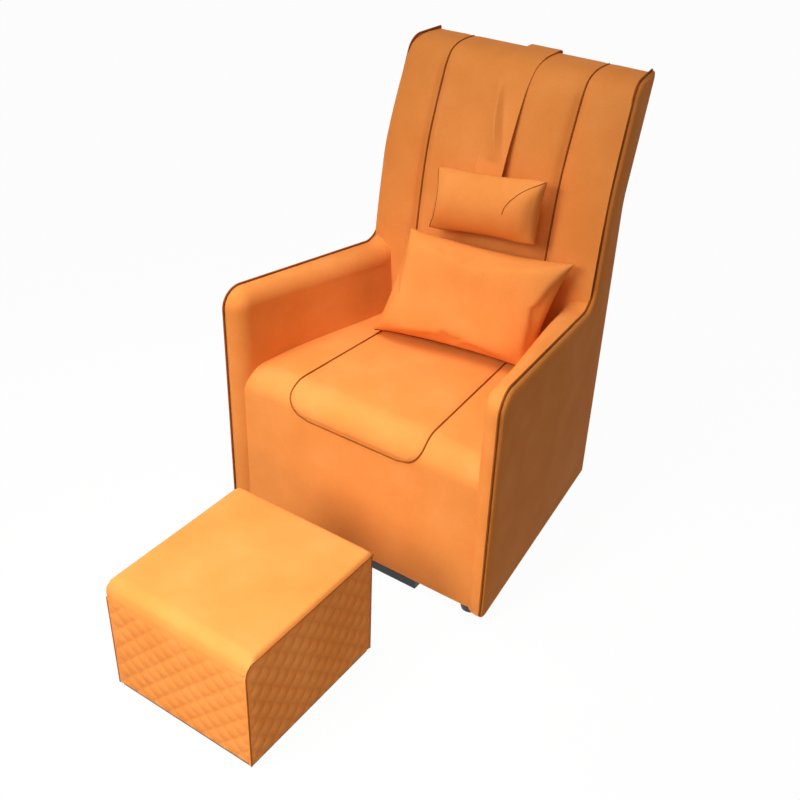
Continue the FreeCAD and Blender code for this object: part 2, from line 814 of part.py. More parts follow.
def spring_shape(across):
    """One serpentine spring between the front rail and the seat's rear rail."""
    loops = round(s.spring_loops)
    start = s.front_rail_depth + s.rail_thickness / 2
    end = s.seat_rear_rail_depth + s.rail_thickness / 2
    pitch = (end - start) / loops
    turn = pitch / 2
    height = s.spring_rail_height + s.clip_height + s.spring_wire / 2 + gap
    run = s.spring_half_width - turn / 2
    corners = [(across, start, 0)]
    for loop in range(loops):
        hand = 1 if loop % 2 == 0 else -1
        for bend in SPRING_BEND_SHARES:
            place = start + pitch * (loop + bend)
            corners.append((across + hand * run, place, turn * SPRING_RADIUS_SHARE))
    corners.append((across, end, 0))
    path = wire(rounded(corners, closed=False), lambda x, y: Vector(x, y, height))
    first = Vector(*corners[0][:2], height)
    along = Vector(*corners[1][:2], height) - first
    ring = Part.Wire(Part.makeCircle(s.spring_wire / 2, first, along))
    return path.makePipeShell([ring], True, False, 2)


spring_places = [(index - (s.spring_count - 1) / 2) * s.spring_spacing
                 for index in range(round(s.spring_count))]
solid_part("seat_springs", Part.makeCompound([spring_shape(across) for across in spring_places]))
clips = []
for index, across in enumerate(spring_places):
    for name, depth in (("front", "front_rail_depth"), ("rear", "seat_rear_rail_depth")):
        middle = f"({index} - (spring_count - 1) / 2) * spring_spacing"
        clips.append(box(f"clip_{name}_{index}", "clip_length", "clip_width", "clip_height",
                         f"{middle} - clip_length / 2",
                         f"{FRONT} + {depth} + (rail_thickness - clip_width) / 2",
                         "spring_rail_height"))
group("spring_clips", clips)

bands = []
for index in range(round(s.webbing_count)):
    low = s.webbing_first_height + index * s.webbing_spacing
    depth = pad_rear_line(low + s.webbing_width) + gap
    half = inner_half_width(depth + s.webbing_thickness, board_inner + gap)
    bands.append(Part.makeBox(2 * half, s.webbing_thickness, s.webbing_width,
                              Vector(-half, depth, low)))
solid_part("back_webbing", Part.makeCompound(bands))


# Feet, plinth and dust cover

def foot(label, side, along):
    """A tapered foot with a counterbored screw hole."""
    centre = foot_place(side, along)
    shape = Part.makeCone(s.foot_bottom_radius, s.foot_top_radius, s.foot_height, centre)
    head = Part.makeCylinder((s.foot_screw_head_diameter + s.fit_clearance) / 2,
                             s.foot_height / 2, centre)
    bore = Part.makeCylinder((s.foot_screw_diameter + s.fit_clearance) / 2, s.foot_height, centre)
    return solid_part(label, shape.cut(head).cut(bore))


screws = []
for label, side, along in FEET:
    foot(label, side, along)
    seat = foot_place(side, along) + Vector(0, 0, s.foot_height / 2)
    shank = Part.makeCylinder(s.foot_screw_diameter / 2, s.foot_height / 2 + s.foot_screw_bite, seat)
    head = Part.makeCylinder(s.foot_screw_head_diameter / 2, s.foot_screw_head_height,
                             seat - Vector(0, 0, s.foot_screw_head_height))
    screws.append(shank.fuse(head).removeSplitter())
solid_part("foot_screws", Part.makeCompound(screws))
keep(box("front_plinth", "2 * plinth_half_width", "plinth_depth", "foot_height",
         "-plinth_half_width", f"{FRONT} + plinth_front", "0"), "front_plinth")

dust_front = s.apron_setback + s.seat_cover_thickness + gap
dust_rear = s.rear_depth - s.rear_cover_thickness - s.rail_thickness - gap
dust_corners = []
for side, depth in ((LEFT, dust_front), (RIGHT, dust_front), (RIGHT, dust_rear), (LEFT, dust_rear)):
    dust_corners.append(Vector(side * inner_half_width(depth, board_inner + gap), depth, s.foot_height))
dust = Part.Face(Part.makePolygon(dust_corners + dust_corners[:1]))
dust = dust.extrude(Vector(0, 0, s.dust_cover_thickness))
for side in (LEFT, RIGHT):
    dust = dust.cut(arm_shape(side).makeOffsetShape(gap, gap * OFFSET_TOLERANCE_SHARE, join=2))
    for label, foot_side, along in FEET:
        if foot_side == side:
            dust = dust.cut(Part.makeCylinder((s.foot_screw_diameter + gap) / 2,
                                              2 * s.foot_height, foot_place(side, along)))
solid_part("dust_cover", dust)


# Head pillow on its strap, with the counterweight behind the back

def pillow_outline(width, height, draw, slump):
    """Four corners with sides that pull in (or swell, where draw is below zero).

    slump is how far the top leans over to the right of the bottom.
    """
    half_w = width / 2
    half_h = height / 2
    lean = slump / 2
    corners = [Vector(-half_w - lean, -half_h, 0), Vector(half_w - lean, -half_h, 0),
               Vector(half_w + lean, half_h, 0), Vector(-half_w + lean, half_h, 0)]
    middles = [Vector(0, -half_h + draw * height, 0), Vector(half_w - draw * height, 0, 0),
               Vector(0, half_h - draw * height, 0), Vector(-half_w + draw * height, 0, 0)]
    return [(corners[index], middles[index], corners[(index + 1) % 4]) for index in range(4)]


def pillow_shape(width, height, thickness, place, slump=0):
    """A crowned pillow with pulled-in sides; local X is its width and local Z its height."""
    wires = []
    levels = zip(PILLOW_LEVEL_SHARES, PILLOW_SPREAD_SHARES, PILLOW_DRAW_SHARES)
    for level, spread, draw in levels:
        deep = level * thickness / 2
        lost = (1 - spread) * height
        pieces = pillow_outline(width - lost, height - lost, draw, slump)
        wires.append(wire(pieces, lambda across, up: place.multVec(Vector(across, deep, up))))
    return loft(wires)


def pillow(label, width, height, thickness, place, slump=0):
    """A pillow's cover, a closed shell, and the filling inside it."""
    wall = s.pillow_cover_thickness
    outer = pillow_shape(width, height, thickness, place, slump)
    hollow = pillow_shape(width - 4 * wall, height - 4 * wall, thickness - 2 * wall, place, slump)
    slack = wall + s.fit_clearance
    filling = pillow_shape(width - 4 * slack, height - 4 * slack, thickness - 2 * slack, place, slump)
    solid_part(f"{label}_cover", outer.cut(hollow))
    solid_part(f"{label}_filling", filling)


face = back_face(s.back_crown)


def arc_spot(points, height):
    """The point at a height on an arc through three points of the back's middle line."""
    curve = Part.Arc(*points).toShape().Curve
    depth = curve.Center.x - math.sqrt(curve.Radius ** 2 - (height - curve.Center.y) ** 2)
    return Vector(depth, height, 0)


def face_depth(height):
    """Depth of the back's middle line at a height below its shoulder."""
    foot_end, waist = face[:2]
    if height > waist.y:
        return arc_spot(face[1:4], height).x
    return foot_end.x + (waist.x - foot_end.x) * (height - foot_end.y) / (waist.y - foot_end.y)


head_turn = Rotation(Vector(1, 0, 0), -s.head_pillow_lean)
head_turn = head_turn.multiply(Rotation(Vector(0, 1, 0), -s.head_pillow_roll))
head_depth = face_depth(s.head_pillow_rise) - s.head_pillow_standoff
head_centre = Vector(s.head_pillow_side, head_depth, s.head_pillow_rise)
head_place = FreeCAD.Placement(head_centre, head_turn)
pillow("head_pillow", s.head_pillow_width, s.head_pillow_height, s.head_pillow_thickness,
       head_place)
lumbar_turn = Rotation(Vector(0, 0, 1), s.lumbar_yaw)
lumbar_turn = lumbar_turn.multiply(Rotation(Vector(1, 0, 0), -s.lumbar_lean))
lumbar_turn = lumbar_turn.multiply(Rotation(Vector(0, 1, 0), s.lumbar_roll))
lumbar_depth = face_depth(s.lumbar_rise) - s.lumbar_standoff
lumbar_centre = Vector(s.lumbar_side, lumbar_depth, s.lumbar_rise)
pillow("lumbar_pillow", s.lumbar_width, s.lumbar_height, s.lumbar_thickness,
       FreeCAD.Placement(lumbar_centre, lumbar_turn), s.lumbar_slump)

strap_left = s.strap_side - s.strap_width / 2


def strap_arc(start, middle, end):
    """A band of strap lying on an arc of the back's middle line, through three of its points."""
    points = [Vector(strap_left, point.x, point.y) for point in (start, middle, end)]
    curve = Part.Arc(*points).toShape().Curve

    def lifted(height):
        """The three points, raised off the back by a height."""
        grow = (curve.Radius + height) / curve.Radius
        return [curve.Center + (point - curve.Center) * grow for point in points]

    inner = lifted(s.fit_clearance)
    outer = lifted(s.fit_clearance + s.strap_thickness)
    edges = [
        Part.Arc(*inner).toShape(),
        Part.makeLine(inner[2], outer[2]),
        Part.Arc(*reversed(outer)).toShape(),
        Part.makeLine(outer[0], inner[0]),
    ]
    return Part.Face(Part.Wire(edges)).extrude(Vector(s.strap_width, 0, 0))


head_top = head_place.multVec(Vector(0, 0, s.head_pillow_height / 2))
front_high = s.back_shoulder_height - s.strap_thickness
front_heights = (head_top.z, (head_top.z + front_high) / 2, front_high)
solid_part("front_strap", strap_arc(*[arc_spot(face[1:4], height) for height in front_heights]))
solid_part("roll_strap", strap_arc(*face[3:6]))
strap_rise = s.overall_height + s.fit_clearance
strap_rear = s.chair_depth + s.fit_clearance
strap_start = s.back_top_depth + s.strap_thickness
solid_part("top_strap", Part.makeBox(s.strap_width, strap_rear + s.strap_thickness - strap_start,
                                     s.strap_thickness, Vector(strap_left, strap_start, strap_rise)))
rear_low = strap_rise - s.strap_rear_length
solid_part("rear_strap", Part.makeBox(s.strap_width, s.strap_thickness, s.strap_rear_length,
                                      Vector(strap_left, strap_rear, rear_low)))
weight_rise = rear_low - gap - s.weight_height / 2
weight_centre = Vector(s.strap_side, strap_rear + s.strap_thickness / 2, weight_rise)
solid_part("counterweight", pillow_shape(s.weight_width, s.weight_height, s.weight_depth,
                                         FreeCAD.Placement(weight_centre, Rotation())))


# Footstool

STOOL_FRONT = f"({FRONT} - stool_gap - stool_depth)"
STOOL_LEFT = "(stool_side - stool_width / 2)"
stool_front_y = front_y - s.stool_gap - s.stool_depth
stool_left = s.stool_side - s.stool_width / 2
QUILT_LOW = "(stool_plinth_rise + stool_plinth_height)"
quilt_low = s.stool_plinth_rise + s.stool_plinth_height
quilt_high = s.stool_height - s.stool_top_crown - s.stool_top_edge
panel = s.stool_quilt_thickness


def quilted_panel(width):
    """A panel stitched in diamonds: every cell rises to a low peak between its seams.

    Its face looks to local -Y, its back lies on Y = thickness and its width runs along X.
    """
    columns = 2 * round(s.stool_quilt_columns)
    rows = 2 * round(s.stool_quilt_rows)
    height = quilt_high - quilt_low

    def spot(column, row):
        """A seam crossing or, between the seams, the peak of a cell."""
        inside = 0 < column < columns and 0 < row < rows
        peak = inside and (column + row) % 2 == 1
        deep = 0 if peak else s.stool_quilt_puff
        return Vector(column * width / columns, deep, row * height / rows)

    def polygon(points):
        """A flat face through points."""
        return Part.Face(Part.makePolygon(points + points[:1]))

    faces = []
    for column in range(columns):
        for row in range(rows):
            ring = [spot(column, row), spot(column + 1, row), spot(column + 1, row + 1),
                    spot(column, row + 1)]
            first = (column + row) % 2
            for step in (0, 2):
                start = first + step
                faces.append(polygon([ring[(start + turn) % 4] for turn in range(3)]))
    back = [Vector(across, panel, up) for across, up in (
        (0, 0), (width, 0), (width, height), (0, height))]
    rims = [
        [spot(column, 0) for column in range(columns + 1)] + [back[1], back[0]],
        [spot(columns, row) for row in range(rows + 1)] + [back[2], back[1]],
        [spot(column, rows) for column in range(columns, -1, -1)] + [back[3], back[2]],
        [spot(0, row) for row in range(rows, -1, -1)] + [back[0], back[3]],
    ]
    faces += [polygon(rim) for rim in rims]
    faces.append(polygon(back))
    shell = Part.makeShell(faces)
    shell.sewShape()
    solid = Part.makeSolid(shell)
    if solid.Volume < 0:
        solid.reverse()
    return solid


def stool_panel(label, width, turn, x, y):
    """One quilted side, turned about Z and set with its local corner at a place."""
    shape = quilted_panel(width)
    shape.Placement = FreeCAD.Placement(Vector(x, y, quilt_low), Rotation(Vector(0, 0, 1), turn))
    for cord in corner_cords:
        shape = shape.cut(cord)
    return solid_part(label, shape, in_chair=False)


stool_right = stool_left + s.stool_width
stool_rear_y = stool_front_y + s.stool_depth
cord_radius = s.seam_cord_diameter / 2
# The panels' stitched rims lie below their peaks, which reach the footstool's full size
rim = s.stool_quilt_puff
front_face = stool_front_y + rim
rear_face = stool_rear_y - rim
left_face = stool_left + rim
right_face = stool_right - rim
cord_places = [(x, y) for x in (left_face, right_face) for y in (front_face, rear_face)]
corner_cords = [
    Part.makeCylinder(cord_radius + gap, quilt_high - quilt_low, Vector(x, y, quilt_low))
    for x, y in cord_places
]
across = right_face - left_face
between = s.stool_depth - 2 * panel
stool_panel("stool_front_panel", across, 0, left_face, stool_front_y)
stool_panel("stool_rear_panel", across, 180, right_face, stool_rear_y)
stool_panel("stool_right_panel", between, 90, stool_right, stool_front_y + panel)
stool_panel("stool_left_panel", between, -90, stool_left, stool_rear_y - panel)
solid_part("stool_corner_cords", Part.makeCompound([
    Part.makeCylinder(cord_radius, quilt_high - quilt_low, Vector(x, y, quilt_low))
    for x, y in cord_places
]), in_chair=False)


def stool_outline(inset, height):
    """The top cover's rounded outline, drawn in by an inset, at a height."""
    corners = [
        (left_face + inset, front_face + inset, s.stool_top_radius),
        (right_face - inset, front_face + inset, s.stool_top_radius),
        (right_face - inset, rear_face - inset, s.stool_top_radius),
        (left_face + inset, rear_face - inset, s.stool_top_radius),
    ]
    return wire(rounded(corners), lambda x, y: Vector(x, y, height))


foam_inset = panel + s.stool_foam_inset
foam_top = s.stool_height - s.stool_top_cover_thickness
foam_low = foam_top - s.stool_foam_thickness
foam_size = (across - 2 * foam_inset, rear_face - front_face - 2 * foam_inset, s.stool_foam_thickness)
foam = Part.makeBox(*foam_size, Vector(left_face + foam_inset, front_face + foam_inset, foam_low))
top_cover = loft([
    stool_outline(inset * s.stool_width, quilt_high + rise * (s.stool_height - quilt_high))
    for inset, rise in zip(STOOL_CROWN_INSET_SHARES, STOOL_CROWN_RISE_SHARES)
])
solid_part("stool_top_cover", top_cover.cut(foam), in_chair=False)
solid_part("stool_foam", foam, in_chair=False)

INSIDE = "stool_quilt_thickness"
FOAM_LOW = "(stool_height - stool_top_cover_thickness - stool_foam_thickness)"
BOARD_TOP = f"({FOAM_LOW} - stool_top_board_thickness)"
BOARD_HEIGHT = f"({BOARD_TOP} - {QUILT_LOW})"
keep(box("stool_top_board", f"stool_width - 2 * {INSIDE}", f"stool_depth - 2 * {INSIDE}",
         "stool_top_board_thickness", f"{STOOL_LEFT} + {INSIDE}", f"{STOOL_FRONT} + {INSIDE}",
         BOARD_TOP), "stool_top_board")
screw_places = []
for word, y in (("front", f"({STOOL_FRONT} + {INSIDE})"),
                ("rear", f"({STOOL_FRONT} + stool_depth - {INSIDE} - stool_board_thickness)")):
    blank = box(f"stool_{word}_blank", f"stool_width - 2 * {INSIDE}", "stool_board_thickness",
                BOARD_HEIGHT, f"{STOOL_LEFT} + {INSIDE}", y, QUILT_LOW)
    bores = []
    for sign in (LEFT, RIGHT):
        x = f"(stool_side + {sign} * stool_screw_inset)"
        middle = f"({y} + stool_board_thickness / 2)"
        screw_places.append((x, middle))
        bores.append(cylinder(f"stool_{word}_bore", "(stool_screw_diameter + fit_clearance) / 2",
                              "stool_screw_length", x, middle, QUILT_LOW))
    cut(f"stool_{word}_board", blank, bores)
for word, x in (("left", f"({STOOL_LEFT} + {INSIDE})"),
                ("right", f"({STOOL_LEFT} + stool_width - {INSIDE} - stool_board_thickness)")):
    keep(box(f"stool_{word}_board", "stool_board_thickness",
             f"stool_depth - 2 * {INSIDE} - 2 * stool_board_thickness", BOARD_HEIGHT, x,
             f"{STOOL_FRONT} + {INSIDE} + stool_board_thickness", QUILT_LOW), f"stool_{word}_board")
plinth_blank = box("stool_plinth_blank", "stool_width - 2 * stool_plinth_inset",
                   "stool_depth - 2 * stool_plinth_inset", "stool_plinth_height",
                   f"{STOOL_LEFT} + stool_plinth_inset", f"{STOOL_FRONT} + stool_plinth_inset",
                   "stool_plinth_rise")
plinth_bores = []
stool_screws = []
HEAD_TOP = "(stool_plinth_rise + stool_screw_head_height)"
for x, y in screw_places:
    plinth_bores.append(cylinder("plinth_bore", "(stool_screw_diameter + fit_clearance) / 2",
                                 "stool_plinth_height", x, y, "stool_plinth_rise"))
    plinth_bores.append(cylinder("plinth_counterbore",
                                 "(stool_screw_head_diameter + fit_clearance) / 2",
                                 "stool_screw_head_height", x, y, "stool_plinth_rise"))
    shank = cylinder("stool_screw_shank", "stool_screw_diameter / 2",
                     "stool_screw_length - stool_screw_head_height", x, y, HEAD_TOP)
    head = cylinder("stool_screw_head", "stool_screw_head_diameter / 2",
                    "stool_screw_head_height", x, y, "stool_plinth_rise")
    screw = doc.addObject("Part::Fuse", "stool_screw")
    screw.Base = shank
    screw.Tool = head
    stool_screws.append(screw)
cut("stool_plinth", plinth_blank, plinth_bores)
group("stool_screws", stool_screws)
glides = []
for x in (f"{STOOL_LEFT} + stool_glide_inset", f"{STOOL_LEFT} + stool_width - stool_glide_inset"):
    for y in (f"{STOOL_FRONT} + stool_glide_inset",
              f"{STOOL_FRONT} + stool_depth - stool_glide_inset"):
        glides.append(cylinder("stool_glide", "stool_glide_radius", "stool_plinth_rise", x, y))
group("stool_glides", glides)


def main_checks():
    """Stop if any object failed or any sub-part has no sound solid."""
    for item in doc.Objects:
        if "Invalid" in item.State or "Error" in item.State:
            raise RuntimeError(f"{item.Label} did not compute: {item.State}")
    for item in sub_parts:
        if item.Shape.isNull() or not item.Shape.isValid() or not item.Shape.Solids:
            raise RuntimeError(f"{item.Label} has no sound solid")


doc.recompute()
main_checks()
os.makedirs("parts", exist_ok=True)
for item in sub_parts:
    item.Shape.exportStep(os.path.join("parts", f"{item.Label}.step"))
    print(item.Label, len(item.Shape.Solids), round(item.Shape.Volume))
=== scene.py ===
"""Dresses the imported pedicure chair: upholstery, seams, finishes, studio and camera.

Lengths in the classes are millimetres measured from the arm fronts (depth), the middle (across) and
the floor (up); spot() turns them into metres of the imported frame.
"""
import json
import logging
import math
from dataclasses import dataclass, field
from enum import Enum
from typing import Any, Callable, Iterable, Sequence

import bmesh
import bpy
from bpy.types import Material, Mesh, Node, NodeSocket, NodeTree, Object
from mathutils import Matrix, Vector, noise
from mathutils.bvhtree import BVHTree


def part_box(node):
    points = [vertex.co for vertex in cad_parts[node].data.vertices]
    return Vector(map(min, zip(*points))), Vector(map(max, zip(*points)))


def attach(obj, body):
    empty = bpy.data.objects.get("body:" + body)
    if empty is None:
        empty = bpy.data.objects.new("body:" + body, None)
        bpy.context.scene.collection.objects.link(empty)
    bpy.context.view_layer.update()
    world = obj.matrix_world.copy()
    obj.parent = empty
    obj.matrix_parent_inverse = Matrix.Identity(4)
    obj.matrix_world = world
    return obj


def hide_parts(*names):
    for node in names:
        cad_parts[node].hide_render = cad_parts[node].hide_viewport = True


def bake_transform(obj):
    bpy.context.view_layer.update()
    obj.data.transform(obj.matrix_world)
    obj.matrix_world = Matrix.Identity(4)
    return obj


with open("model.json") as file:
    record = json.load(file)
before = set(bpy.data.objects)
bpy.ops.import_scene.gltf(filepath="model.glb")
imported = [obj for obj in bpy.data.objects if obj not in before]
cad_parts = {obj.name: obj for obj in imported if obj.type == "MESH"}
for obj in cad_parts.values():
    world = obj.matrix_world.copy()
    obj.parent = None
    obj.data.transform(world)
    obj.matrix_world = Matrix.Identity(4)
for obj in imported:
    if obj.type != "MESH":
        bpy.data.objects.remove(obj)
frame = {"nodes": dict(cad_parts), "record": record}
log = logging.getLogger("pedicure_chair")
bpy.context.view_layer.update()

MM = 0.001
FRONT_Y = -79.275
TOE = math.radians(6.48)
HALF_WIDTH = 390.0
# Steps round a rounded corner
CORNER_STEPS = 12
# How far the back's pads stay inside the side panels' outer faces
PAD_BELOW = 14.4

BMesh = bmesh.types.BMesh
Path = Sequence[tuple[float, float]]
Corners = Sequence[tuple[float, float, float]]
Place = tuple[float, float, float]
Links = dict[Any, NodeSocket]


class Hand(Enum):
    """Which side of the chair a piece belongs to."""

    LEFT = -1
    RIGHT = 1


class Slot(Enum):
    """The record's material slots."""

    LEATHER = "orange_leather"
    WELT = "dark_welt"
    PLY = "plywood"
    FOAM = "foam"
    FIBRE = "pillow_filling"
    SPRING = "spring_steel"
    SCREW = "screw_steel"
    WEBBING = "webbing"
    DUST = "dust_cloth"
    PLASTIC = "black_plastic"


def spot(across: float, depth: float, up: float) -> Vector:
    """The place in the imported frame, in metres, of millimetres measured on the chair."""
    return Vector((across, depth + FRONT_Y, up)) * MM


def inner_half(depth: float, below: float) -> float:
    """Half the chair's width at a depth, measured some millimetres below its slanted outer faces."""
    return HALF_WIDTH - math.tan(TOE) * depth - below / math.cos(TOE)


def per(size: float) -> float:
    """The scale of a pattern that repeats at a size in millimetres."""
    return 1 / (size * MM)


def linear(code: str) -> tuple[float, float, float, float]:
    """Turns an sRGB hex colour into the linear colour of a shader socket.

    Args:
        code: Six hex digits after a hash sign.

    Returns:
        Red, green, blue and an alpha of one.
    """
    parts = [int(code[start:start + 2], 16) / 255 for start in (1, 3, 5)]
    red, green, blue = (part / 12.92 if part <= 0.04045 else ((part + 0.055) / 1.055) ** 2.4 for part in parts)
    return red, green, blue, 1.0


def add_node(tree: NodeTree, kind: str, settings: dict[Any, Any] | None = None, links: Links | None = None) -> Node:
    """Adds a shader node with its settings and the sockets that feed it.

    Args:
        tree: The material's or world's nodes.
        kind: Blender's name of the node type, after its ShaderNode.
        settings: Values by attribute name, or by the name or number of an input.
        links: Output sockets by the name or number of the input they feed.

    Returns:
        The new node.
    """
    node = tree.nodes.new("ShaderNode" + kind)
    for key, value in (settings or {}).items():
        if isinstance(key, int) or key in node.inputs:
            node.inputs[key].default_value = value
        else:
            setattr(node, key, value)
    for key, socket in (links or {}).items():
        tree.links.new(socket, node.inputs[key])
    return node


def shades(tree: NodeTree, pattern: NodeSocket, stops: Sequence[tuple[float, str]]) -> NodeSocket:
    """Colours a pattern.

    Args:
        tree: The material's nodes.
        pattern: The pattern's value.
        stops: Places from 0 to 1 along it and their hex colours.

    Returns:
        The colour.
    """
    node = add_node(tree, "ValToRGB", {}, {"Fac": pattern})
    ramp = node.color_ramp
    while len(ramp.elements) < len(stops):
        ramp.elements.new(1.0)
    for element, (place, code) in zip(ramp.elements, stops):
        element.position = place
        element.color = linear(code)
    return node.outputs["Color"]


def new_material(name: str) -> tuple[Material, NodeTree]:
    """Opens a material.

    Args:
        name: Its name.

    Returns:
        The material and its nodes, of which there are none yet.
    """
    material = bpy.data.materials.new(name)
    material.use_nodes = True
    material.node_tree.nodes.clear()
    return material, material.node_tree


def put(name: str, data: bpy.types.ID) -> Object:
    """Puts a mesh, curve, camera or lamp into the scene.

    Args:
        name: The object's name.
        data: What it shows.

    Returns:
        The object.
    """
    thing = bpy.data.objects.new(name, data)
    bpy.context.scene.collection.objects.link(thing)
    return thing


def mesh_of(name: str, bm: BMesh) -> Mesh:
    """Turns an edit mesh into a mesh and frees it.

    Args:
        name: The mesh's name.
        bm: The edit mesh.

    Returns:
        The mesh.
    """
    mesh = bpy.data.meshes.new(name)
    bm.to_mesh(mesh)
    bm.free()
    return mesh


def evaluated(thing: Object) -> Mesh:
    """A new mesh of an object with its modifiers or bevel applied."""
    graph = bpy.context.evaluated_depsgraph_get()
    return bpy.data.meshes.new_from_object(thing.evaluated_get(graph))


@dataclass(frozen=True)
class Finish:
    """What every finish shares: its name and its shader."""

    name: str

    def start(self) -> tuple[Material, NodeTree, NodeSocket]:
        """Opens the material.

        Returns:
            The material, its nodes and the object coordinates.
        """
        material, tree = new_material(self.name)
        return material, tree, add_node(tree, "TexCoord").outputs["Object"]

    def relief(self, tree: NodeTree, pattern: NodeSocket, stops: Sequence[tuple[float, str]], strength: float,
               height: float) -> Links:
        """Lets one pattern give colour and relief.

        Args:
            tree: The material's nodes.
            pattern: The pattern's value.
            stops: Places from 0 to 1 along it and their hex colours.
            strength: How much of the relief shows.
            height: Its height in millimetres.

        Returns:
            What feeds the shader.
        """
        bump = add_node(tree, "Bump", {"Strength": strength, "Distance": height * MM}, {"Height": pattern})
        return {"Base Color": shades(tree, pattern, stops), "Normal": bump.outputs["Normal"]}

    def gloss(self, tree: NodeTree, pattern: NodeSocket, roughness: tuple[float, float]) -> NodeSocket:
        """Lets a pattern change the gloss.

        Args:
            tree: The material's nodes.
            pattern: The pattern's value.
            roughness: The least and the greatest roughness.

        Returns:
            The roughness.
        """
        low, high = roughness
        return add_node(tree, "MapRange", {"To Min": low, "To Max": high}, {"Value": pattern}).outputs["Result"]

    def close(self, material: Material, settings: dict[str, Any], links: Links) -> Material:
        """Adds the shader.

        Args:
            material: The material.
            settings: The shader's settings.
            links: What feeds it.

        Returns:
            The finished material.
        """
        shader = add_node(material.node_tree, "BsdfPrincipled", settings, links)
        add_node(material.node_tree, "OutputMaterial", {}, {"Surface": shader.outputs["BSDF"]})
        return material


@dataclass(frozen=True)
class Leather(Finish):
    """Coated upholstery leather: smooth, a fine pebbled grain and a soft semi-matt gloss."""

    dark: str = "#E88F45"
    middle: str = "#EE964C"
    light: str = "#F39E56"
    cloud_mm: float = 140.0
    rub_mm: float = 60.0
    wave_mm: float = 85.0
    grain_mm: float = 2.6
    roughness: tuple[float, float] = (0.44, 0.55)
    grain_depth: float = 0.10
    wave_depth: float = 0.22

    def make(self) -> Material:
        """Builds the material.

        Returns:
            The leather, with clouded colour, pebbled grain and slow waves.
        """
        material, tree, where = self.start()
        # Dye takes unevenly, in clouds about a hand wide; use rubs the hide, and it waves slowly
        cloud, rub, wave = (
            add_node(tree, "TexNoise", {"Scale": per(size), "Detail": detail, "Roughness": rough},
                     {"Vector": where}).outputs["Fac"]
            for size, detail, rough in ((self.cloud_mm, 4.0, 0.55), (self.rub_mm, 3.0, 0.5), (self.wave_mm, 2.0, 0.5)))
        tone = shades(tree, cloud, ((0.28, self.dark), (0.52, self.middle), (0.75, self.light)))
        # Pebbles about a millimetre wide, drawn coarser so that they show
        pebble = add_node(tree, "TexVoronoi", {"feature": "DISTANCE_TO_EDGE", "Scale": per(self.grain_mm)},
                          {"Vector": where})
        lift = add_node(tree, "MapRange", {"From Max": 0.25}, {"Value": pebble.outputs["Distance"]}).outputs["Result"]
        darker = add_node(tree, "MapRange", {"To Min": 0.90}, {"Value": lift})
        shaded = add_node(tree, "Mix", {"data_type": "RGBA", "blend_type": "MULTIPLY", "Factor": 1.0},
                          {6: tone, 7: darker.outputs["Result"]})
        slow = add_node(tree, "Bump", {"Strength": self.wave_depth, "Distance": 6 * MM}, {"Height": wave})
        fine = add_node(tree, "Bump", {"Strength": self.grain_depth, "Distance": 0.4 * MM},
                        {"Height": lift, "Normal": slow.outputs["Normal"]})
        return self.close(material, {"IOR": 1.42, "Specular IOR Level": 0.01},
                          {"Base Color": shaded.outputs[2], "Roughness": self.gloss(tree, rub, self.roughness),
                           "Normal": fine.outputs["Normal"]})


@dataclass(frozen=True)
class Plywood(Finish):
    """Rotary-cut birch plywood: pale, with long faint grain."""

    dark: str = "#B08A5A"
    light: str = "#D9BC8C"
    grain_mm: float = 14.0
    streak_mm: float = 160.0

    def make(self) -> Material:
        """Builds the material.

        Returns:
            The wood, with its grain drawn out along the sheet.
        """
        material, tree, where = self.start()
        scale = (per(self.grain_mm), per(self.grain_mm), per(self.streak_mm))
        stretch = add_node(tree, "Mapping", {"Scale": scale}, {"Vector": where})
        grain = add_node(tree, "TexNoise", {"Scale": 1.0, "Detail": 6.0, "Distortion": 0.6},
                         {"Vector": stretch.outputs["Vector"]})
        stops = ((0.3, self.dark), (0.7, self.light))
        return self.close(material, {"Roughness": 0.62},
                          self.relief(tree, grain.outputs["Fac"], stops, strength=0.15, height=0.5))


@dataclass(frozen=True)
class Cellular(Finish):
    """A porous filling, such as cut foam or blown fibre, in clumps of a real size."""

    dark: str
    light: str
    clump_mm: float
    depth_mm: float

    def make(self) -> Material:
        """Builds the material.

        Returns:
            The filling, with pores between its clumps.
        """
        material, tree, where = self.start()
        pores = add_node(tree, "TexVoronoi", {"Scale": per(self.clump_mm)}, {"Vector": where})
        stops = ((0.1, self.dark), (0.6, self.light))
        return self.close(material, {"Roughness": 0.95},
                          self.relief(tree, pores.outputs["Distance"], stops, strength=0.5, height=self.depth_mm))


@dataclass(frozen=True)
class Steel(Finish):
    """Drawn or plated steel: metallic, with fine drawing marks in its gloss."""

    colour: str
    mark_mm: float
    roughness: tuple[float, float]

    def make(self) -> Material:
        """Builds the material.

        Returns:
            The steel, with marks that change its gloss.
        """
        material, tree, where = self.start()
        marks = add_node(tree, "TexNoise", {"Scale": per(self.mark_mm), "Detail": 4.0}, {"Vector": where})
        return self.close(material, {"Base Color": linear(self.colour), "Metallic": 1.0},
                          {"Roughness": self.gloss(tree, marks.outputs["Fac"], self.roughness)})


@dataclass(frozen=True)
class Woven(Finish):
    """A woven or spunbonded band: threads cross at a real spacing."""

    dark: str
    light: str
    thread_mm: float
    # How many bands a wave texture of scale 1 draws in a metre
    bands: float = 3.2

    def make(self) -> Material:
        """Builds the material.

        Returns:
            The weave, made of two crossed sets of bands.
        """
        material, tree, where = self.start()
        warp, weft = (add_node(tree, "TexWave", {"bands_direction": way, "Scale": per(self.thread_mm * self.bands)},
                               {"Vector": where}).outputs["Fac"] for way in "XZ")
        cross = add_node(tree, "Math", {"operation": "MAXIMUM"}, {0: warp, 1: weft})
        stops = ((0.2, self.dark), (0.9, self.light))
        return self.close(material, {"Roughness": 0.9},
                          self.relief(tree, cross.outputs["Value"], stops, strength=0.4, height=0.4))


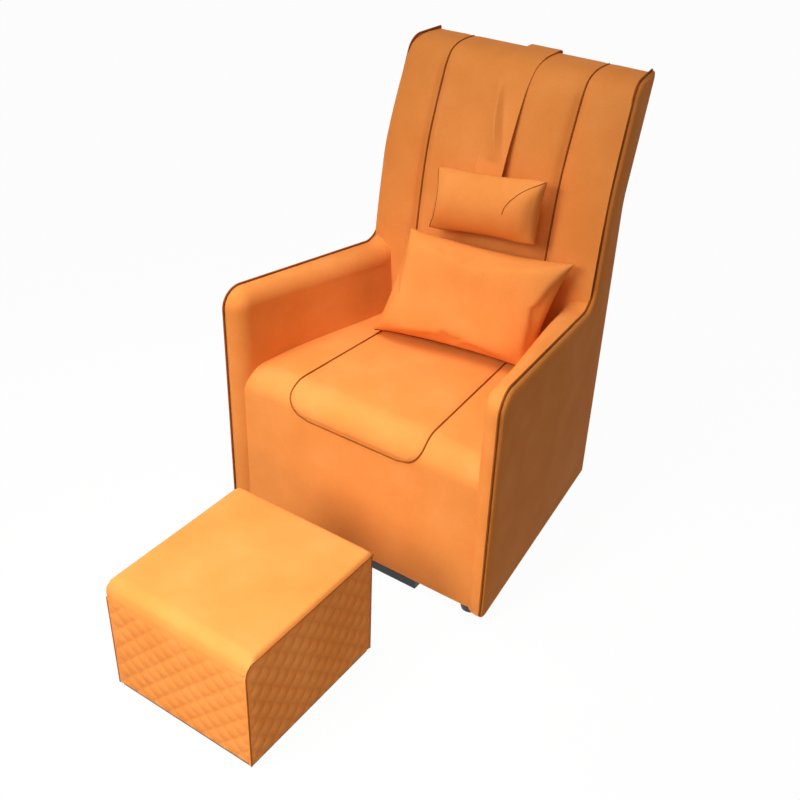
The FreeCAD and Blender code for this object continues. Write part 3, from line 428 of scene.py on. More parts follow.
@dataclass(frozen=True)
class MouldedPlastic(Finish):
    """Injection-moulded black polypropylene: a fine spark-eroded texture, half matt."""

    dark: str = "#131314"
    light: str = "#232324"
    grit_mm: float = 1.4

    def make(self) -> Material:
        """Builds the material.

        Returns:
            The plastic, with its mould's grit.
        """
        material, tree, where = self.start()
        grit = add_node(tree, "TexNoise", {"Scale": per(self.grit_mm), "Detail": 2.0}, {"Vector": where})
        stops = ((0.35, self.dark), (0.7, self.light))
        return self.close(material, {"Roughness": 0.48},
                          self.relief(tree, grit.outputs["Fac"], stops, strength=0.2, height=0.2))


@dataclass
class Palette:
    """The chair's finishes, one for each slot of the record."""

    made: dict[Slot, Material] = field(default_factory=dict)

    def build(self) -> None:
        """Makes every material once."""
        finishes: dict[Slot, Any] = {
            Slot.LEATHER: Leather("coated_orange_leather"),
            # The welts' dark brown is painted seam shade. The cords are real piping, but they are leather of about the
            # seat's colour. They are drawn darker to stand in for the shadowed grooves beside them.
            Slot.WELT: Leather("welt_leather_painted_seam_shade", dark="#8A4A1C", middle="#9A5621", light="#AA6429", grain_mm=1.6,
                               wave_depth=0.05),
            Slot.PLY: Plywood("birch_plywood"),
            Slot.FOAM: Cellular("cut_polyether_foam", "#C9B36A", "#E8DBA2", 3.0, 0.8),
            Slot.FIBRE: Cellular("polyester_fibre", "#D2D2CC", "#F3F3EF", 9.0, 2.5),
            Slot.SPRING: Steel("drawn_spring_steel", "#6E7074", 3.0, (0.28, 0.42)),
            Slot.SCREW: Steel("zinc_plated_steel", "#B9BBBD", 2.0, (0.22, 0.36)),
            Slot.WEBBING: Woven("elastic_webbing", "#2B2724", "#6A625A", 1.6),
            Slot.DUST: Woven("spunbonded_dust_cloth", "#111112", "#2C2C2E", 1.2),
            Slot.PLASTIC: MouldedPlastic("moulded_polypropylene"),
        }
        self.made = {slot: finish.make() for slot, finish in finishes.items()}


@dataclass
class Workshop:
    """Turns meshes into pieces of the model and keeps count of them."""

    palette: Palette
    pieces: list[Object] = field(default_factory=list)

    def dress(self) -> None:
        """Gives every CAD node its slot's finish."""
        slots = {part["node"]: Slot(part["material_slot"]) for part in frame["record"]["subparts"]}
        for name, node in frame["nodes"].items():
            node.data.materials.clear()
            node.data.materials.append(self.palette.made[slots[name]])
            log.info("node %s: %s", name, slots[name].value)

    def piece(self, name: str, bm: BMesh, body: str, stands_for: Iterable[str] = (), fill: float | None = None,
              wall: float = 0.0, levels: int = 0, sharp: float = 55.0, slot: Slot = Slot.LEATHER) -> Object:
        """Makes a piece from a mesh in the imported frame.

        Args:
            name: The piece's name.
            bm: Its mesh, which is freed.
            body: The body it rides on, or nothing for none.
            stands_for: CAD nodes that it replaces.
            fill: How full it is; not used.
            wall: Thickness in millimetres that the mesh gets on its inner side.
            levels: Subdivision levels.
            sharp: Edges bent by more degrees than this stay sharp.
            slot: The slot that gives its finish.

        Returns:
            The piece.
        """
        thing = put(name, mesh_of(name, bm))
        if wall:
            shell = thing.modifiers.new("wall", "SOLIDIFY")
            shell.thickness = wall * MM
            shell.offset = -1.0
        if levels:
            smooth = thing.modifiers.new("soft", "SUBSURF")
            smooth.levels = levels
            smooth.render_levels = levels
        if thing.modifiers:
            done = evaluated(thing)
            done.name = name
            thing.modifiers.clear()
            thing.data = done
        thing.data.shade_smooth()
        thing.data.set_sharp_from_angle(angle=math.radians(sharp))
        thing.data.materials.clear()
        thing.data.materials.append(self.palette.made[slot])
        if body:
            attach(thing, body)
        names = list(stands_for)
        if names:
            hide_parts(*names)
        self.pieces.append(thing)
        log.info("piece %s: %d faces", thing.name, len(thing.data.polygons))
        return thing

    def welt(self, name: str, points: Sequence[Vector], thickness: float, body: str,
             stands_for: Iterable[str] = ()) -> None:
        """Makes a sewn-in cord along points.

        Args:
            name: The piece's name.
            points: Places of its middle line, in metres.
            thickness: Its diameter in millimetres.
            body: The body it rides on.
            stands_for: CAD nodes that it replaces.
        """
        line = bpy.data.curves.new(name, "CURVE")
        line.dimensions = "3D"
        line.bevel_depth = thickness / 2 * MM
        line.bevel_resolution = 2
        line.use_fill_caps = True
        run = line.splines.new("POLY")
        run.points.add(len(points) - 1)
        for point, place in zip(run.points, points):
            point.co = (*place, 1.0)
        holder = put(name + "_line", line)
        cord = evaluated(holder)
        bm = bmesh.new()
        bm.from_mesh(cord)
        bpy.data.objects.remove(holder)
        bpy.data.curves.remove(line)
        bpy.data.meshes.remove(cord)
        # The cord takes the welt finish, whose dark brown is painted seam shade; the cord itself is real piping.
        self.piece(name, bm, body, stands_for, sharp=180.0, slot=Slot.WELT)


@dataclass
class Maker:
    """A sub-assembly and the workshop in which its pieces are made."""

    shop: Workshop


def grid(columns: int, rows: int, place: Callable[[float, float], Vector]) -> BMesh:
    """A panel laid out as a grid and shaped by moving its points.

    Args:
        columns: Squares across.
        rows: Squares upwards.
        place: The point for shares from 0 to 1 across and upwards.

    Returns:
        The panel's mesh, with its layout as a UV map.
    """
    bm = bmesh.new()
    bm.loops.layers.uv.new("layout")
    bmesh.ops.create_grid(bm, x_segments=columns, y_segments=rows, size=0.5, calc_uvs=True)
    for vert in bm.verts:
        vert.co = place(vert.co.x + 0.5, vert.co.y + 0.5)
    return bm


def even(points: Sequence[Sequence[float]], steps: int) -> list[tuple[float, float]]:
    """A line through points, evenly stepped.

    Args:
        points: Its corners.
        steps: How many steps it is divided into.

    Returns:
        The places along it.
    """
    corners = [Vector(point) for point in points]
    lengths = [0.0]
    for start, end in zip(corners, corners[1:]):
        lengths.append(lengths[-1] + (end - start).length)
    result = []
    index = 0
    for step in range(steps + 1):
        goal = lengths[-1] * step / steps
        while index < len(corners) - 2 and lengths[index + 1] < goal:
            index += 1
        share = (goal - lengths[index]) / max(lengths[index + 1] - lengths[index], 1e-9)
        result.append(tuple(corners[index].lerp(corners[index + 1], share)))
    return result


def smooth_line(points: Path, steps: int) -> list[tuple[float, float]]:
    """A soft line through points, evenly stepped.

    Args:
        points: Places that it passes through.
        steps: How many steps it is divided into.

    Returns:
        The places along it.
    """
    padded = [Vector(points[0]) * 2 - Vector(points[1])] + [Vector(point) for point in points]
    padded.append(padded[-1] * 2 - padded[-2])
    parts = 24
    fine: list[Vector] = []
    for before, start, end, after in zip(padded, padded[1:], padded[2:], padded[3:]):
        for part in range(parts):
            t = part / parts
            fine.append(0.5 * (2 * start + (end - before) * t + (2 * before - 5 * start + 4 * end - after) * t * t
                               + (3 * start - before - 3 * end + after) * t ** 3))
    fine.append(padded[-2])
    return even(fine, steps)


def along(line: Path, share: float) -> tuple[float, float]:
    """The place at a share of an evenly stepped line.

    Args:
        line: The stepped line.
        share: From 0 at its start to 1 at its end.

    Returns:
        The place.
    """
    reach = min(max(share, 0.0), 1.0) * (len(line) - 1)
    index = min(int(reach), len(line) - 2)
    (x0, y0), (x1, y1) = line[index], line[index + 1]
    part = reach - index
    return x0 + (x1 - x0) * part, y0 + (y1 - y0) * part


def outwards(line: Path, share: float, step: float) -> Vector:
    """The way square to a stepped line, left of its run, with its slope taken over a step to each side."""
    slope = (Vector(along(line, share + step)) - Vector(along(line, share - step))).normalized()
    return Vector((-slope.y, slope.x))


def rounded(corners: Corners) -> list[tuple[float, float]]:
    """A closed outline with its corners rounded.

    Args:
        corners: Two places and a radius for each corner.

    Returns:
        The outline's places.
    """
    places = []
    for index, (x, y, radius) in enumerate(corners):
        here = Vector((x, y))
        if not radius:
            places.append((x, y))
            continue
        before = (Vector(corners[index - 1][:2]) - here).normalized()
        after = (Vector(corners[(index + 1) % len(corners)][:2]) - here).normalized()
        half = before.angle(after) / 2
        middle = here + (before + after).normalized() * radius / math.sin(half)
        first = here + before * radius / math.tan(half) - middle
        sweep = first.angle_signed(here + after * radius / math.tan(half) - middle)
        for step in range(CORNER_STEPS + 1):
            places.append(tuple(middle + Matrix.Rotation(-sweep * step / CORNER_STEPS, 2) @ first))
    return places


def hollow(distance: float, width: float) -> float:
    """How deep a seam draws the surface in, from 1 on the seam to 0 beyond a width in millimetres."""
    return math.exp(-(distance / width) ** 2)


def uneven(place: Vector, way: Place, size: float, height: float) -> Vector:
    """A place moved by the swells of soft leather, of a size and height in millimetres."""
    return place + Vector(way) * noise.noise(place / (size * MM)) * height * MM


def turned(*steps: tuple[str, float]) -> Matrix:
    """A turn made of turns about axes, the first one outermost.

    Args:
        steps: Axis letters and degrees.

    Returns:
        The turn.
    """
    result = Matrix.Identity(3)
    for axis, angle in steps:
        result = result @ Matrix.Rotation(math.radians(angle), 3, axis)
    return result


@dataclass
class Armside(Maker):
    """One side of the chair: the outer panel and the padded inner arm."""

    hand: Hand
    panel_thickness: float = 14.0
    # How far the rims of the panel and the arm reach inwards, and how far they fall
    panel_edge: tuple[float, float] = (28.0, 12.0)
    arm_edge: tuple[float, float] = (43.0, 40.0)
    arm_inner: float = 60.0
    # Where the arm's rim begins and ends, as shares of the way from the welt inwards
    rim: tuple[float, float] = (0.15, 0.6)
    # Depths between which the arm grows fuller, and by how much at its rim and at the seat
    swell_depths: tuple[float, float] = (60.0, 500.0)
    rear_swell: float = 22.0
    rear_flare: float = 34.0
    # Depth and height at which the cover ends inside the seat, and how much of the line's run they follow
    sunk: tuple[float, float] = (60.0, 300.0)
    sunk_follow: tuple[float, float] = (0.9, 0.27)
    rear_tuck: float = 40.0
    outline: Corners = (
        (0, 28, 0), (0, 638, 48), (535, 594, 50), (562, 850, 500), (652, 1104, 45), (764, 1108, 0),
        (656, 831, 150), (656, 28, 0))
    arm_line: Corners = ((0, 28, 0), (0, 638, 48), (535, 594, 50), (548, 720, 0))

    def panel(self) -> BMesh:
        """The outer panel, with its tacked face inside and its soft face outside, in the side's own plane.

        Returns:
            The mesh; X runs across the chair, Y along the side and Z up.
        """
        places = [Vector(place) for place in rounded(self.outline)]
        inwards = []
        for before, here, after in zip(places[-1:] + places, places, places[1:] + places[:1]):
            first, second = (Vector((end.y - start.y, start.x - end.x)).normalized()
                             for start, end in ((before, here), (here, after)))
            normal = (first + second).normalized()
            inwards.append(normal / max(normal.dot(first), 0.4))
        bm = bmesh.new()
        order = bm.verts.layers.int.new("order")
        for number in range(len(places)):
            bm.verts.new()[order] = number
        bm.verts.ensure_lookup_table()
        lid = bm.faces.new(bm.verts[:])
        reach, drop = self.panel_edge
        turns = [math.pi / 2 * step / 8 for step in range(9)]
        rings = [(0.0, self.panel_thickness)]
        rings += [(reach * (1 - math.cos(turn)), drop * (1 - math.sin(turn))) for turn in turns]
        for number, (inset, level) in enumerate(rings):
            if number:
                made = bmesh.ops.extrude_face_region(bm, geom=[lid])
                lid = next(item for item in made["geom"] if isinstance(item, bmesh.types.BMFace))
            for vert in lid.verts:
                depth, up = places[vert[order]] + inwards[vert[order]] * inset
                vert.co = Vector((-self.hand.value * level, depth / math.cos(TOE), up)) * MM
        bmesh.ops.recalc_face_normals(bm, faces=bm.faces[:])
        return bm

    def arm(self) -> BMesh:
        """The inner arm's cover, fuller towards the back, where its padding runs into the back's side.

        Returns:
            The mesh, from the welt over the rounded top and front to inside the seat's edge.
        """
        side = self.hand.value
        line = even(rounded(self.arm_line), 240)
        deep, low = self.sunk
        begin, end = self.rim
        thin, full = self.swell_depths
        bend, rear = self.arm_line[2:]

        def place(u: float, v: float) -> Vector:
            """A place on the cover."""
            here = Vector(along(line, u))
            share = min(max((here.x - thin) / (full - thin), 0.0), 1.0)
            share *= share * (3 - 2 * share)
            sunk = max(v - end, 0.0) / (1 - end)
            inner = self.arm_inner + (self.rear_swell + self.rear_flare * sunk) * share
            angle = math.pi / 2 * min(max((v - begin) / (end - begin), 0.0), 1.0)
            inset = self.arm_edge[0] * (1 - math.cos(angle))
            below = inner - self.arm_edge[1] * (1 - math.sin(angle))
            below += (self.panel_thickness + 0.3 - below) * max(1 - v / begin, 0.0)
            spread = here - outwards(line, u, 0.003) * inset
            # Past the rim the cover runs down into the seat, or into the back where the line climbs it
            goal = Vector((deep + self.sunk_follow[0] * here.x,
                           here.y if here.y < low else low + (here.y - low) * self.sunk_follow[1]))
            if here.x > bend[0] - 5 and here.y > bend[1]:
                goal = Vector((rear[0] + self.rear_tuck, here.y))
            spread = spread.lerp(goal, sunk)
            return Vector((-side * below, spread.x / math.cos(TOE), spread.y)) * MM

        bm = grid(150, 40, place)
        if side < 0:
            bmesh.ops.reverse_faces(bm, faces=bm.faces[:])
        return bm

    def build(self) -> None:
        """Makes the outer panel and the arm, swung to the side's slanted place."""
        side, word = self.hand.value, self.hand.name.lower()
        swing = Matrix.Translation(Vector((side * HALF_WIDTH, FRONT_Y, 0)) * MM) @ Matrix.Rotation(side * TOE, 4, "Z")
        panel, arm = self.panel(), self.arm()
        for bm in (panel, arm):
            bmesh.ops.transform(bm, matrix=swing, verts=bm.verts[:])
        self.shop.piece(f"{word}_outer_panel", panel, "chair", [f"{word}_side_cover"], fill=0.5)
        self.shop.piece(f"{word}_inner_arm", arm, "chair", [f"{word}_arm_cover"], fill=0.7, wall=8.0)


@dataclass
class Seat(Maker):
    """The seat cushion that falls over the front as an apron, and its sewn-on panel."""

    front: float = 9.0
    top: float = 435.0
    rear: float = 466.0
    low: float = 28.0
    roll: float = 62.0
    crown: float = 22.0
    # The soft share of the crown's fall to the arms, the powers of its soft and steep falls, and the apron's share
    soft_fall: float = 0.24
    fall_powers: tuple[int, int] = (4, 22)
    apron_crown: float = 0.14
    panel_half: float = 192.0
    panel_low: float = 361.0
    panel_shift: float = -6.0
    panel_corner: float = 62.0
    panel_rise: float = 3.0
    panel_draw: float = 3.6
    tuck: float = 36.0
    swell_way: Place = (0, -1, 0.6)
    swell_size: float = 150.0
    line: list[tuple[float, float]] = field(default_factory=list)
    length: float = 0.0

    def profile(self) -> None:
        """Works out the seat's middle line, from the apron's hem to the seat's rear."""
        raw = [(self.front, self.low), (self.front, self.top - self.roll)]
        for step in range(1, CORNER_STEPS + 1):
            angle = math.pi / 2 * step / CORNER_STEPS
            raw.append((self.front + self.roll * (1 - math.cos(angle)), self.top - self.roll * (1 - math.sin(angle))))
        raw.append((self.rear, self.top))
        self.length = sum(math.dist(first, second) for first, second in zip(raw, raw[1:]))
        self.line = even(raw, 160)

    def surface(self, share: float, run: float, lift: float) -> Vector:
        """A place on the seat.

        Args:
            share: From -1 at the left arm to 1 at the right one.
            run: From 0 at the apron's hem to 1 at the seat's rear.
            lift: Millimetres off the surface.

        Returns:
            The place.
        """
        depth, up = along(self.line, run)
        out = outwards(self.line, run, 0.01)
        soft, steep = (abs(share) ** power for power in self.fall_powers)
        edge = self.soft_fall * soft + (1 - self.soft_fall) * steep
        sunk = self.crown * edge * (self.apron_crown + (1 - self.apron_crown) * max(out.y, 0.0)) - lift
        return spot(share * inner_half(depth, self.tuck), depth - out.x * sunk, up - out.y * sunk)

    def build(self) -> None:
        """Makes the seat, its panel and the panel's welt."""
        self.profile()

        def cushion(u: float, v: float) -> Vector:
            """A place of the cushion, a little uneven as soft leather is."""
            fade = min(min(u, 1 - u, v) * 12, 1.0)
            return uneven(self.surface(u * 2 - 1, v, 0.0), self.swell_way, self.swell_size, fade * 1.1)

        self.shop.piece("seat_and_apron", grid(90, 150, cushion), "chair", ["seat_cover"], fill=0.8, wall=11.0)
        start = (self.panel_low - self.low) / self.length
        end = 1 - 5 / self.length
        half_front = inner_half(self.front, self.tuck)

        def panel_half(run: float) -> float:
            """Half the panel's width, drawn in round its front corners."""
            gone = max(self.panel_corner - (run - start) * self.length, 0.0)
            return self.panel_half - self.panel_corner + math.sqrt(max(self.panel_corner ** 2 - gone ** 2, 0.0))

        def panel(u: float, v: float) -> Vector:
            """A place of the panel, low at its sewn edge and full in its middle."""
            run = start + (end - start) * v ** 1.15
            near = min(u, 1 - u) * 2 * panel_half(run)
            ahead = (run - start) * self.length
            lift = self.panel_rise - self.panel_draw * hollow(min(near, ahead), 9)
            place = self.surface(((u * 2 - 1) * panel_half(run) + self.panel_shift) / half_front, run, lift)
            return uneven(place, self.swell_way, self.swell_size, 0.9)

        self.shop.piece("seat_top_panel", grid(70, 110, panel), "chair", ["seat_panel"], fill=0.8, wall=2.0)
        runs = [end - (end - start) * step / 60 for step in range(61)]
        border = [(self.panel_shift - panel_half(run), run) for run in runs]
        border += [(self.panel_shift + panel_half(run), run) for run in reversed(runs)]
        self.shop.welt("seat_panel_welt", [self.surface(x / half_front, run, 1.0) for x, run in border], 4.2, "chair")


@dataclass
class Back(Maker):
    """Three upright padded channels, the seams between them and the outer back."""

    seam: float = 186.0
    seam_gap: float = 0.2
    seam_width: float = 13.0
    crown: float = 8.0
    draw: float = 12.0
    # How far the outer channels fall towards the sides, and how far more at their rims
    side_fall: float = 12.5
    rim_fall: float = 2.5
    rim_width: float = 24.0
    # The depth at which the padding across the back is taken
    waist: float = 560.0
    # How much a drawn-in pad sinks at the top, which lies above a height
    top_sink: float = 0.12
    top_from: float = 1100.0
    # The share of the face line where the seams begin, behind the seat
    seam_start: float = 0.05
    steps: int = 90
    face: Corners = (
        (476, 345, 1), (500, 542, 1), (524, 740, 1), (552, 890, 1), (602, 1032, 1), (634, 1084, 0.5),
        (662, 1101, 0.25), (692, 1107, 0), (722, 1108, 0), (750, 1107, 0))
    rear_line: Path = ((656, 28), (656, 420), (656, 760), (664, 842), (690, 918), (728, 1015), (762, 1104))

    def profile(self, forward: float) -> list[tuple[float, float]]:
        """The pad's face line, moved forward.

        Args:
            forward: Millimetres towards the sitter.

        Returns:
            The stepped line from the seat over the top.
        """
        sink = self.top_sink * max(-forward, 0.0)
        points = [(depth - forward * share, up - (sink if up > self.top_from else 0.0))
                  for depth, up, share in self.face]
        return smooth_line(points, self.steps)

    def forward(self, across: float) -> float:
        """How far the pads stand forward at a place across the waist.

        Args:
            across: Millimetres from the middle.

        Returns:
            Millimetres towards the sitter.
        """
        off = abs(across)
        half = inner_half(self.waist, PAD_BELOW)
        seam = self.draw * hollow(abs(off - self.seam), self.seam_width)
        if off <= self.seam:
            return self.crown * (1 - (off / self.seam) ** 2) - seam
        part = min((off - self.seam) / (half - self.seam), 1.0)
        return -self.side_fall * part ** 2 - self.rim_fall * hollow(half - off, self.rim_width) - seam

    def pad(self, left: Callable[[float], float], right: Callable[[float], float], columns: int) -> BMesh:
        """One padded channel.

        Args:
            left: Its left edge at a depth.
            right: Its right edge at a depth.
            columns: Squares across.

        Returns:
            The channel's face.
        """
        lines = {}

        def across(depth: float, u: float) -> float:
            """Where a share of the channel's width lies at a depth."""
            return left(depth) + (right(depth) - left(depth)) * u

        def place(u: float, v: float) -> Vector:
            """A place on the channel."""
            key = round(u * columns)
            if key not in lines:
                lines[key] = self.profile(self.forward(across(self.waist, u)))
            depth, up = along(lines[key], v)
            return uneven(spot(across(depth, u), depth, up), (0, -1, 0.3), 190, 0.9)

        return grid(columns, 120, place)

    def build(self) -> None:
        """Makes the channels, seams and outer back."""
        edge = self.seam - self.seam_gap
        middle = self.pad(lambda depth: -edge, lambda depth: edge, 72)
        self.shop.piece("back_middle_channel", middle, "chair", ["back_pad_center"], fill=0.75, wall=26.0)
        line = self.profile(2.5 - self.draw)
        shares = [self.seam_start + (1 - self.seam_start) * step / self.steps for step in range(self.steps + 1)]
        for hand in Hand:
            word = hand.name.lower()

            def outer(depth: float) -> float:
                """Where the side panel begins at a depth."""
                return hand.value * inner_half(depth, PAD_BELOW)

            def inner(depth: float) -> float:
                """Where the seam runs."""
                return hand.value * (self.seam + self.seam_gap)

            ends = (outer, inner) if hand is Hand.LEFT else (inner, outer)
            self.shop.piece(f"back_{word}_channel", self.pad(*ends, 36), "chair", [f"back_pad_{word}"], fill=0.75,
                            wall=26.0)
            path = [spot(hand.value * self.seam, *along(line, share)) for share in shares]
            self.shop.welt(f"back_{word}_seam", path, 4.0, "chair")
        rear = smooth_line(self.rear_line, self.steps)

        def panel(u: float, v: float) -> Vector:
            """A place of the outer back, drawn in at its stitched rim."""
            depth, up = along(rear, v)
            half = inner_half(depth, PAD_BELOW + 0.2)
            rim = min(u, 1 - u) * 2 * half
            sunk = 4.0 * hollow(min(rim, v * 1000, (1 - v) * 1000), 14)
            return uneven(spot(-(u * 2 - 1) * half, depth - sunk, up), (0, 1, 0), 190, 0.8)

        self.shop.piece("outer_back", grid(60, 110, panel), "chair", ["rear_cover"], fill=0.4, wall=10.0)


@dataclass
class Strap(Maker):
    """The leather strap from the head pillow over the back's top to the counterweight."""

    middle: float = 14.0
    width: float = 80.0
    thickness: float = 2.5
    lift: float = 3.0
    low: float = 842.0
    high: float = 1030.0
    fold: float = 20.0
    fold_top: float = 1062.0
    # How far the pillow holds the strap's left and right edges off the back
    stand: tuple[float, float] = (8.0, 22.0)
    # The fold lies in front of this depth
    fold_depth: float = 700.0
    steps: int = 240
    face: Path = (
        (516, 740), (544, 890), (594, 1032), (630, 1084), (662, 1102), (690, 1108), (726, 1109), (758, 1109),
        (765.5, 1105), (766.5, 1096), (766.5, 956))

    def ribbon(self, line: Path, start: float, end: float, rows: int) -> BMesh:
        """A length of the strap.

        Args:
            line: The whole strap's line.
            start: Share of the line where the length begins.
            end: Share where it ends.
            rows: Squares along it.

        Returns:
            Its outer face.
        """
        def place(u: float, v: float) -> Vector:
            """A place on the strap, with the soft fold that its pull makes."""
            run = start + (end - start) * v
            depth, up = along(line, run)
            out = outwards(line, run, 0.004)
            lift = self.lift
            if depth < self.fold_depth:
                fall = min(max((self.fold_top - up) / (self.fold_top - self.low), 0.0), 1.0)
                lift += fall * (self.stand[0] + (self.stand[1] - self.stand[0]) * u)
                # A fold starts at the left edge near the top and runs down to the right
                ridge = 0.12 + 0.7 * fall
                facet = u / ridge if u < ridge else max(1 - (u - ridge) / (0.12 + 0.16 * fall), 0.0)
                lift += self.fold * math.sin(math.pi * min(fall * 1.15, 0.92)) * facet
            return spot(self.middle + (u - 0.5) * self.width, depth + out.x * lift, up + out.y * lift)

        return grid(36, rows, place)

    def build(self) -> None:
        """Makes the front, top and rear lengths."""
        line = smooth_line(self.face, self.steps)

        def first(holds: Callable[[float, float], bool]) -> float:
            """The share of the line where a test of depth and height first holds."""
            return next(index for index, place in enumerate(line) if holds(*place)) / self.steps

        low = first(lambda depth, up: up > self.low)
        high = first(lambda depth, up: up > self.high)
        crest = first(lambda depth, up: depth > 760 and up < 1095)
        front = self.shop.piece("strap_front", self.ribbon(line, low, high, 50), "", ["front_strap"],
                                wall=self.thickness)
        spot(self.middle, 594, self.high)
        spot(self.middle, 538, self.low + 12)
        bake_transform(front)
        self.shop.piece("strap_over_top", self.ribbon(line, high, crest, 60), "chair", ["roll_strap", "top_strap"],
                        wall=self.thickness)
        rear = self.shop.piece("strap_rear", self.ribbon(line, crest, 1.0, 30), "", ["rear_strap"],
                               wall=self.thickness)
        spot(self.middle, 766, 1095)
        spot(self.middle, 766, 966)
        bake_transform(rear)


@dataclass
class Pillow(Maker):
    """A sewn pillow: two faces joined at a seam, filled and blown up by a cloth run."""

    name: str
    body: str
    nodes: tuple[str, ...]
    width: float
    height: float
    thickness: float
    turn: Matrix
    slump: float = 0.0
    fill: float = 0.8
    columns: int = 64
    # The furthest that the cloth run moves a point
    cap: float = 16.0
    frames: int = 20
    ears: float = 0.05
    plump: tuple[float, float] = (4.0, 4.0)
    shift: Place = (0.0, 0.0, 0.0)
    seams: tuple[Path, ...] = ()

    def middle(self) -> Vector:
        """The middle of the CAD pillow, shifted, in metres."""
        lows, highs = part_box(self.nodes[0])
        return (Vector(lows) + Vector(highs)) / 2 + Vector(self.shift) * MM

    def case(self, share: float) -> BMesh:
        """The pillow's case before it is blown up, upright about the origin.

        Args:
            share: How much of its thickness it already has.

        Returns:
            The closed case.
        """
        rows = max(round(self.columns * self.height / self.width), 8)
        faces = []
        for side in (-1, 1):
            def place(u: float, v: float) -> Vector:
                """A place on one face of the case."""
                a, b = (1 - u * 2) * side, v * 2 - 1
                pull_x = 1 - self.ears * (1 - b * b)
                pull_z = 1 - self.ears * self.width / self.height * (1 - a * a)
                full = max((1 - abs(a) ** self.plump[0]) * (1 - abs(b) ** self.plump[1]), 0.0) ** 0.5
                x = a * pull_x * self.width / 2 + b * self.slump / 2
                return Vector((x, full * self.thickness / 2 * share * side, b * pull_z * self.height / 2)) * MM

            faces.append(grid(self.columns, rows, place))
        bm, other = faces
        extra = mesh_of("case_half", other)
        bm.from_mesh(extra)
        bpy.data.meshes.remove(extra)
        bmesh.ops.remove_doubles(bm, verts=bm.verts[:], dist=0.2 * MM)
        bmesh.ops.recalc_face_normals(bm, faces=bm.faces[:])
        return bm

    def blow_up(self, thing: Object) -> None:
        """Fills the case with air as cloth, so that its faces swell and its edges pucker.

        Args:
            thing: The case, which takes the settled shape.
        """
        before = [vert.co.copy() for vert in thing.data.vertices]
        cloth = thing.modifiers.new("fill", "CLOTH")
        rules = cloth.settings
        rules.quality = 6
        rules.mass = 0.25
        rules.tension_stiffness = 22
        rules.compression_stiffness = 14
        rules.shear_stiffness = 6
        rules.bending_stiffness = 0.6
        rules.use_pressure = True
        rules.uniform_pressure_force = 4.0
        rules.effector_weights.gravity = 0
        cloth.collision_settings.use_collision = False
        scene = bpy.context.scene
        for number in range(1, self.frames + 1):
            scene.frame_set(number)
        graph = bpy.context.evaluated_depsgraph_get()
        after = [vert.co.copy() for vert in thing.evaluated_get(graph).data.vertices]
        thing.modifiers.clear()
        scene.frame_set(1)
        for vert, old, new in zip(thing.data.vertices, before, after):
            move = new - old
            vert.co = old + move * min(1.0, self.cap * MM / max(move.length, 1e-9))

    def fit(self, bm: BMesh) -> None:
        """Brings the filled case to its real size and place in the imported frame.

        Args:
            bm: The filled case.
        """
        low, high = (Vector(pick(vert.co[axis] for vert in bm.verts) for axis in range(3)) for pick in (min, max))
        size = high - low
        goal = Vector((self.width + abs(self.slump), self.thickness, self.height)) * MM
        bmesh.ops.translate(bm, verts=bm.verts[:], vec=-(low + high) / 2)
        bmesh.ops.scale(bm, verts=bm.verts[:], vec=Vector(goal[axis] / size[axis] for axis in range(3)))
        place = Matrix.Translation(self.middle()) @ self.turn.to_4x4()
        bmesh.ops.transform(bm, matrix=place, verts=bm.verts[:])

    def sew(self, bm: BMesh) -> None:
        """Lays the seams on the pillow's front.

        Args:
            bm: The filled case in its place.
        """
        tree = BVHTree.FromBMesh(bm)
        ahead = self.turn @ Vector((0, -1, 0))
        for number, seam in enumerate(self.seams):
            points = []
            for across, up in smooth_line(seam, 40):
                local = Vector((across * self.width / 2 + up * self.slump / 2, 0, up * self.height / 2)) * MM
                inside = self.middle() + self.turn @ local
                place, normal, _, _ = tree.ray_cast(inside + ahead, -ahead)
                if place is None:
                    place, normal, _, _ = tree.find_nearest(inside)
                points.append(place + normal * 0.4 * MM)
            self.shop.welt(f"{self.name}_seam_{number + 1}", points, 2.6, self.body)

    def build(self) -> None:
        """Makes the pillow and its seams."""
        share = 0.72
        word = self.name + "_case"
        holder = put(word, mesh_of(word, self.case(share)))
        self.blow_up(holder)
        bm = bmesh.new()
        bm.from_mesh(holder.data)
        bpy.data.objects.remove(holder)
        self.fit(bm)
        self.sew(bm)
        self.shop.piece(self.name, bm, self.body, self.nodes, fill=self.fill, levels=1, sharp=75)


